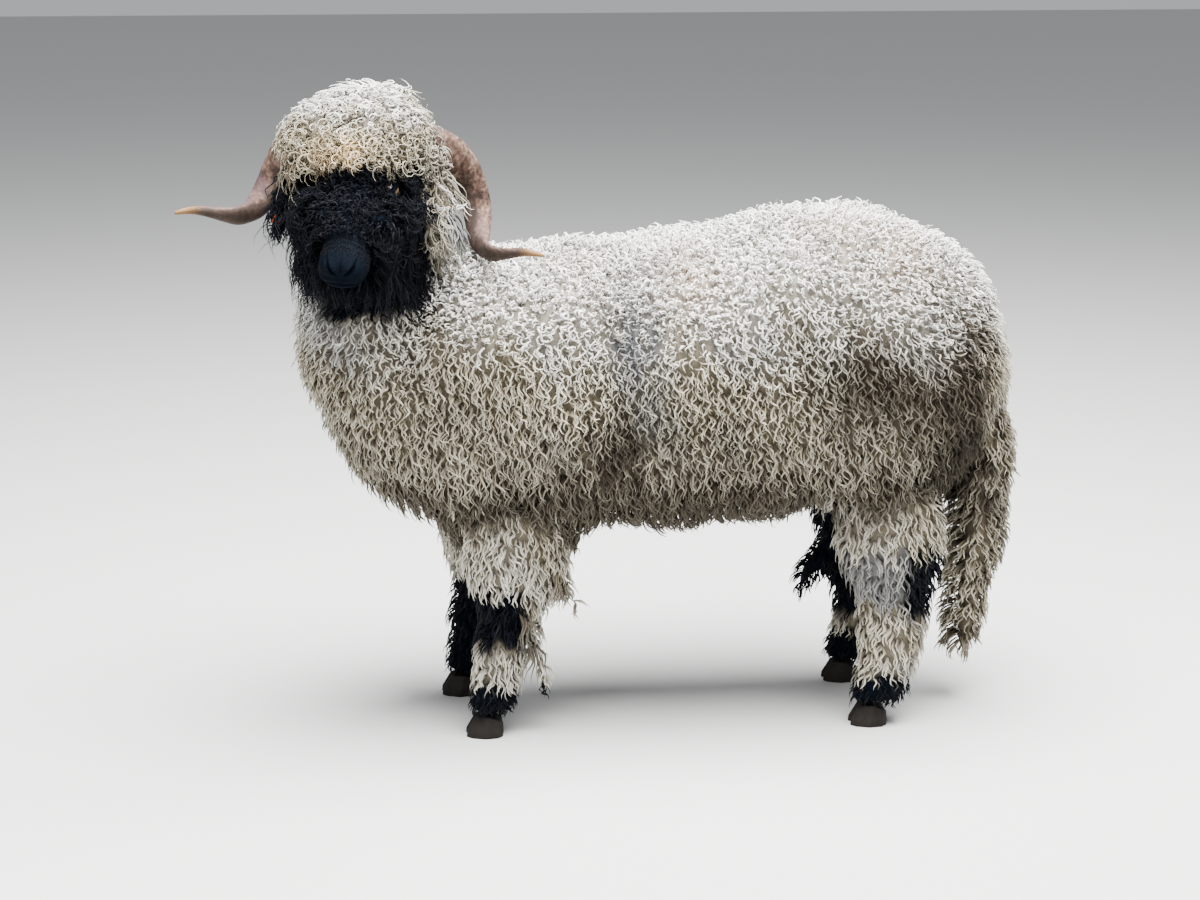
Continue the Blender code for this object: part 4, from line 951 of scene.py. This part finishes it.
class Graph:
    """The nodes of one material."""

    def __init__(self, name, **uniform):
        self.material = bpy.data.materials.new(name)
        self.material.use_nodes = True
        self.tree = self.material.node_tree
        self.shader = self.tree.nodes["Principled BSDF"]
        for name, value in uniform.items():
            self.shader.inputs[SOCKETS[name]].default_value = value

    def node(self, kind, settings=None, inputs=None, output=0):
        made = self.tree.nodes.new(kind)
        for name, value in (settings or {}).items():
            if name == "stops":
                self.set_stops(made.color_ramp, value)
            else:
                setattr(made, name, value)
        for key, value in (inputs or {}).items():
            self.feed(made.inputs[key], value)
        return Value(self, made.outputs[output])

    def set_stops(self, ramp, stops):
        while len(ramp.elements) < len(stops):
            ramp.elements.new(0.5)
        for element, (place, colour) in zip(ramp.elements, stops):
            element.position = place
            element.color = (*colour, 1)

    def feed(self, socket, value):
        if isinstance(value, Value):
            self.tree.links.new(value.socket, socket)
        elif isinstance(value, tuple) and len(value) == 3 and socket.type == "RGBA":
            socket.default_value = (*value, 1)
        else:
            socket.default_value = value

    def give(self, name, value):
        self.feed(self.shader.inputs[name], value)

    def mix(self, factor, a, b):
        return self.node("ShaderNodeMix", {"data_type": "RGBA"}, {0: factor, 6: a, 7: b}, 2)

    def attribute(self, name):
        made = self.tree.nodes.new("ShaderNodeAttribute")
        made.attribute_name = name
        split = self.tree.nodes.new("ShaderNodeSeparateColor")
        self.tree.links.new(made.outputs["Color"], split.inputs[0])
        return [Value(self, split.outputs[k]) for k in range(3)] + [Value(self, made.outputs["Alpha"])]

    def noise(self, scale, detail=4.0):
        place = self.node("ShaderNodeTexCoord", output=3)
        return self.node("ShaderNodeTexNoise", None, {"Vector": place, "Scale": scale, "Detail": detail})

    def ramp(self, value, *stops):
        return self.node("ShaderNodeValToRGB", {"stops": stops}, {0: value})

    def span(self, value, low, high, start=0.0, end=1.0):
        """Carries the span from low to high over to start and end."""
        return self.node("ShaderNodeMapRange", None, {0: value, 1: low, 2: high, 3: start, 4: end})

    def bump(self, height, strength, distance):
        self.give("Normal", self.node("ShaderNodeBump", None, {
            "Height": height, "Strength": strength, "Distance": distance}))


def coat_colour(graph):
    """The colour of wool, hair and skin from the values stored on the points."""
    along, tone, black, white = graph.attribute("coat")
    soil_and_shade, grey, gold, pink = graph.attribute("stain")
    # Wool darkens towards the root: painted shade deep in the coat
    wool = graph.ramp(along, (0.0, (0.090, 0.074, 0.050)), (0.40, (0.235, 0.20, 0.140)),
                      (0.75, (0.50, 0.46, 0.355)), (1.0, (0.71, 0.67, 0.54)))
    # The white, partly painted light from above, is strongest at the tips
    wool = graph.mix(white * (0.45 + along * 0.5), wool, (0.97, 0.965, 0.95))
    wool = graph.mix(pink * 0.5, wool, (0.68, 0.48, 0.36))
    wool = graph.mix(gold, wool, (0.74, 0.54, 0.30))
    wool = graph.mix(grey * 0.8, wool, (0.115, 0.125, 0.145))
    # Dirt, and the painted shade that the markings add to it
    wool = graph.mix(soil_and_shade * 0.92, wool, (0.042, 0.034, 0.026))
    shade = graph.span(tone, 0.0, 1.0, 0.62, 1.15)
    patchy = graph.span(graph.noise(9.0), 0.3, 0.7, 0.86, 1.04)
    wool = graph.node("ShaderNodeVectorMath", {"operation": "SCALE"}, {0: wool, 3: shade * patchy})
    # Black hair: bluish as a painted sheen, lighter towards the tips of brighter locks as sun-bleaching and
    # painted highlight
    jet = graph.mix(along * tone * tone, (0.0003, 0.0009, 0.0024), (0.0170, 0.0175, 0.0220))
    return graph.mix(black, wool, jet), black


def wool_material():
    graph = Graph("wool", gloss=0.06)
    colour, black = coat_colour(graph)
    graph.give("Base Color", colour)
    graph.give("Roughness", 0.80 - black * 0.25)
    graph.bump(graph.noise(900.0, 2.0), 0.25, 0.0006)
    return graph.material


def skin_material():
    graph = Graph("skin", gloss=0.02)
    colour, black = coat_colour(graph)
    fine = graph.noise(420.0, 3.0)
    # Bare nose and lips: near black with a bluish painted sheen, lighter on the raised grain as painted
    # highlight
    nose = graph.mix(fine * fine, (0.0003, 0.0010, 0.0026), (0.0045, 0.0072, 0.0125))
    graph.give("Base Color", graph.mix(black * 0.9, colour, nose))
    graph.give("Roughness", 0.80 - black * 0.15)
    graph.bump(fine + graph.noise(1400.0, 2.0) * 0.5, 0.8, 0.0016)
    return graph.material


def horn_material():
    graph = Graph("horn_sheath", gloss=0.12)
    _, rings, tip, under = graph.attribute("coat")
    blotch = graph.noise(28.0, 6.0)
    grain = graph.noise(160.0, 5.0)
    colour = graph.ramp(blotch * 0.55 + grain * 0.45, (0.36, (0.016, 0.010, 0.008)),
                        (0.46, (0.070, 0.040, 0.030)), (0.54, (0.140, 0.088, 0.064)),
                        (0.66, (0.24, 0.19, 0.155)))
    cracks = graph.span(graph.noise(70.0, 8.0), 0.50, 0.62)
    colour = graph.mix(rings * 0.55, colour, (0.035, 0.021, 0.016))
    colour = graph.mix(cracks * 0.6, colour, (0.022, 0.014, 0.012))
    colour = graph.mix(graph.attribute("stain")[0] * 0.7, colour, (0.060, 0.034, 0.036))
    # Darker on the inner side, partly its own colour, and underneath as painted shade
    colour = graph.mix(under * 0.85, colour, (0.020, 0.014, 0.011))
    colour = graph.mix(tip * 0.7, colour, (0.22, 0.12, 0.045))
    graph.give("Base Color", colour)
    graph.give("Roughness", 0.55 + grain * 0.35)
    graph.bump(grain * 0.6 + blotch * 0.4 - rings * 0.8, 0.7, 0.0022)
    return graph.material


def eye_material():
    graph = Graph("eyeball", roughness=0.06, coat=1.0)
    iris, pupil, _, _ = graph.attribute("coat")
    streaks = graph.noise(500.0, 2.0)
    amber = graph.mix(streaks, (0.16, 0.075, 0.022), (0.34, 0.19, 0.06))
    colour = graph.mix(iris, (0.055, 0.040, 0.034), amber)
    graph.give("Base Color", graph.mix(pupil, colour, (0.004, 0.004, 0.005)))
    return graph.material


def claw_material():
    graph = Graph("claw_horn", gloss=0.12)
    streaks = graph.noise(90.0, 5.0)
    graph.give("Base Color", graph.mix(streaks, (0.003, 0.003, 0.003), (0.020, 0.016, 0.013)))
    graph.give("Roughness", 0.42 + streaks * 0.4)
    graph.bump(streaks, 0.5, 0.001)
    return graph.material


def tag_material():
    graph = Graph("tag_plastic", roughness=0.42)
    dirt = graph.noise(180.0, 4.0)
    graph.give("Base Color", graph.mix(dirt * 0.5, (0.55, 0.085, 0.02), (0.25, 0.05, 0.02)))
    graph.bump(dirt, 0.1, 0.0004)
    return graph.material


def floor_material():
    graph = Graph("floor", roughness=0.85)
    graph.give("Base Color", (0.52, 0.52, 0.51))
    return graph.material


# The hard pieces

def make_horn(node, side):
    """A ringed horn: dark on its inner side and, as painted shade, underneath; reddish above, amber at the
    tip.
    """
    horn = node_copy(node, node + "_sheath")
    apply_form(horn, "SUBSURF", levels=2, render_levels=2)
    co = points_of(horn)
    normals = points_of(horn, "normal")
    left = head_places(co)[1]
    reach = np.clip((side * left - HORN_ROOT) / HORN_REACH, 0, 1)
    bands = np.sin(2 * math.pi * (reach * HORN_RINGS + 0.5 * waves(co, 0.05, 31))) * (1 - reach)
    rings = np.clip(0.5 + 0.5 * bands, 0, 1) ** 3
    ragged = 0.15 * waves(co, 0.03, 33)
    # Dark on the inner side, partly the horn's own colour and partly painted shade where it faces down
    inner = 0.5 * normals @ np.array(AHEAD) - 0.8 * side * (normals @ np.array(LEFT)) - 0.3 * normals[:, 2]
    inner = smooth_step(inner + ragged, 0.20, 0.48) * smooth_step(reach, 0.28, 0.50)
    # The outer part darker where it faces down: painted shade
    outer_underside_shade = smooth_step(reach, 0.52, 0.68) * smooth_step(0.6 - normals[:, 2], 0, 0.4)
    upper = smooth_step(normals[:, 2] + ragged, 0.35, 0.80) * (1 - smooth_step(reach, 0.5, 0.9))
    tip = smooth_step(reach, 0.80, 0.97)
    colour_points(horn.data, reach, rings, tip, np.maximum(inner, 0.8 * outer_underside_shade), upper)
    return finish(horn, "horn", "horn", node)


def make_eye(node, side):
    """An eyeball with a raised cornea, an amber iris and a level slot for a pupil."""
    centre, *axes = eye_axes(side)
    eye = primitive(bpy.ops.mesh.primitive_uv_sphere_add, segments=64, ring_count=40, radius=EYE_RADIUS)
    eye.name = node + "_ball"
    co = points_of(eye)
    ray = np.hypot(co[:, 0], co[:, 1])
    front = co[:, 2] > 0
    co[:, 2] += front * 0.0016 * np.clip(1 - (ray / 0.0085) ** 2, 0, 1)
    set_points(eye, co)
    iris = front * (1 - smooth_step(ray, 0.0078, 0.0086))
    slot = np.maximum(np.abs(co[:, 0]) / 0.0052, np.abs(co[:, 1]) / 0.0021)
    pupil = front * (1 - smooth_step(slot, 0.9, 1.15))
    colour_points(eye.data, iris, pupil)
    set_in_place(eye, centre, axes)
    return finish(eye, "eye", "eye", node)


def make_tag():
    tag = node_copy("ear_tag", "ear_tag_plate")
    apply_form(tag, "BEVEL", width=0.0005, segments=2)
    return finish(tag, "tag", "ear_tag", "ear_tag")


def make_claws():
    for node in sorted(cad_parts):
        if "claw" in node:
            claw = node_copy(node, node + "_horn")
            apply_form(claw, "BEVEL", width=0.0025, segments=3)
            finish(claw, "claw", "claw", node)


# Stage, light and camera

def make_stage():
    floor = primitive(bpy.ops.mesh.primitive_plane_add, size=40)
    floor.name = "floor"
    floor.data.materials.append(materials["floor"])


def make_light(name, place, target, size, power):
    light = bpy.data.lights.new(name, "AREA")
    light.shape = "DISK"
    light.size = size
    light.energy = power
    obj = bpy.data.objects.new(name, light)
    bpy.context.scene.collection.objects.link(obj)
    obj.location = place
    obj.rotation_euler = (Vector(target) - Vector(place)).to_track_quat("-Z", "Y").to_euler()


def make_lights():
    world = bpy.data.worlds.new("studio")
    bpy.context.scene.world = world
    world.use_nodes = True
    background = world.node_tree.nodes["Background"].inputs
    background["Color"].default_value = (0.93, 0.96, 1.0, 1)
    background["Strength"].default_value = 0.50
    make_light("sky", (0.5, 0.3, 3.6), (0, 0, 0.5), 3.6, 1380)
    make_light("front", (3.4, -2.6, 2.2), (0, 0, 0.6), 2.0, 75)


def make_camera():
    back = Vector((math.sin(VIEW_AZIMUTH) * math.cos(VIEW_RISE),
                   -math.cos(VIEW_AZIMUTH) * math.cos(VIEW_RISE), math.sin(VIEW_RISE)))
    camera = bpy.data.objects.new("camera", bpy.data.cameras.new("camera"))
    bpy.context.scene.collection.objects.link(camera)
    camera.data.lens = VIEW_LENS
    camera.data.sensor_width = SENSOR_WIDTH
    camera.location = VIEW_TARGET + back * VIEW_DISTANCE
    camera.rotation_euler = (-back).to_track_quat("-Z", "Y").to_euler()
    bpy.context.scene.camera = camera


materials = {
    "wool": wool_material(),
    "skin": skin_material(),
    "horn": horn_material(),
    "eye": eye_material(),
    "claw": claw_material(),
    "tag": tag_material(),
    "floor": floor_material(),
}


def make_coat(skin, nearest):
    """Colours the skin like a lock near its root, with its white toned down, as painted shade between the
    locks, and grows all the locks on it.
    """
    skin_map = SkinMap(skin, nearest)
    co = points_of(skin)
    marks = markings(co, points_of(skin, "normal"), nearest(co))
    # Painted shade between the locks: the skin's white toned down, its colour that of a lock near the root
    marks[1] = marks[1] * 0.25
    colour_points(skin.data, np.full(len(co), 0.20), np.full(len(co), 0.4), *marks)
    finish(skin, "skin", "dark_skin", *FLESH)
    for coat in (body_coat, tail_coat, leg_coat, head_coat, face_coat, ear_coat, matted_locks):
        coat(skin_map)


def main():
    make_camera()
    make_stage()
    make_lights()
    make_coat(make_skin(), node_finder(FLESH))
    for side, word in ((1, "left"), (-1, "right")):
        make_horn("horn_" + word, side)
        make_eye("eye_" + word, side)
    make_tag()
    make_claws()


main()
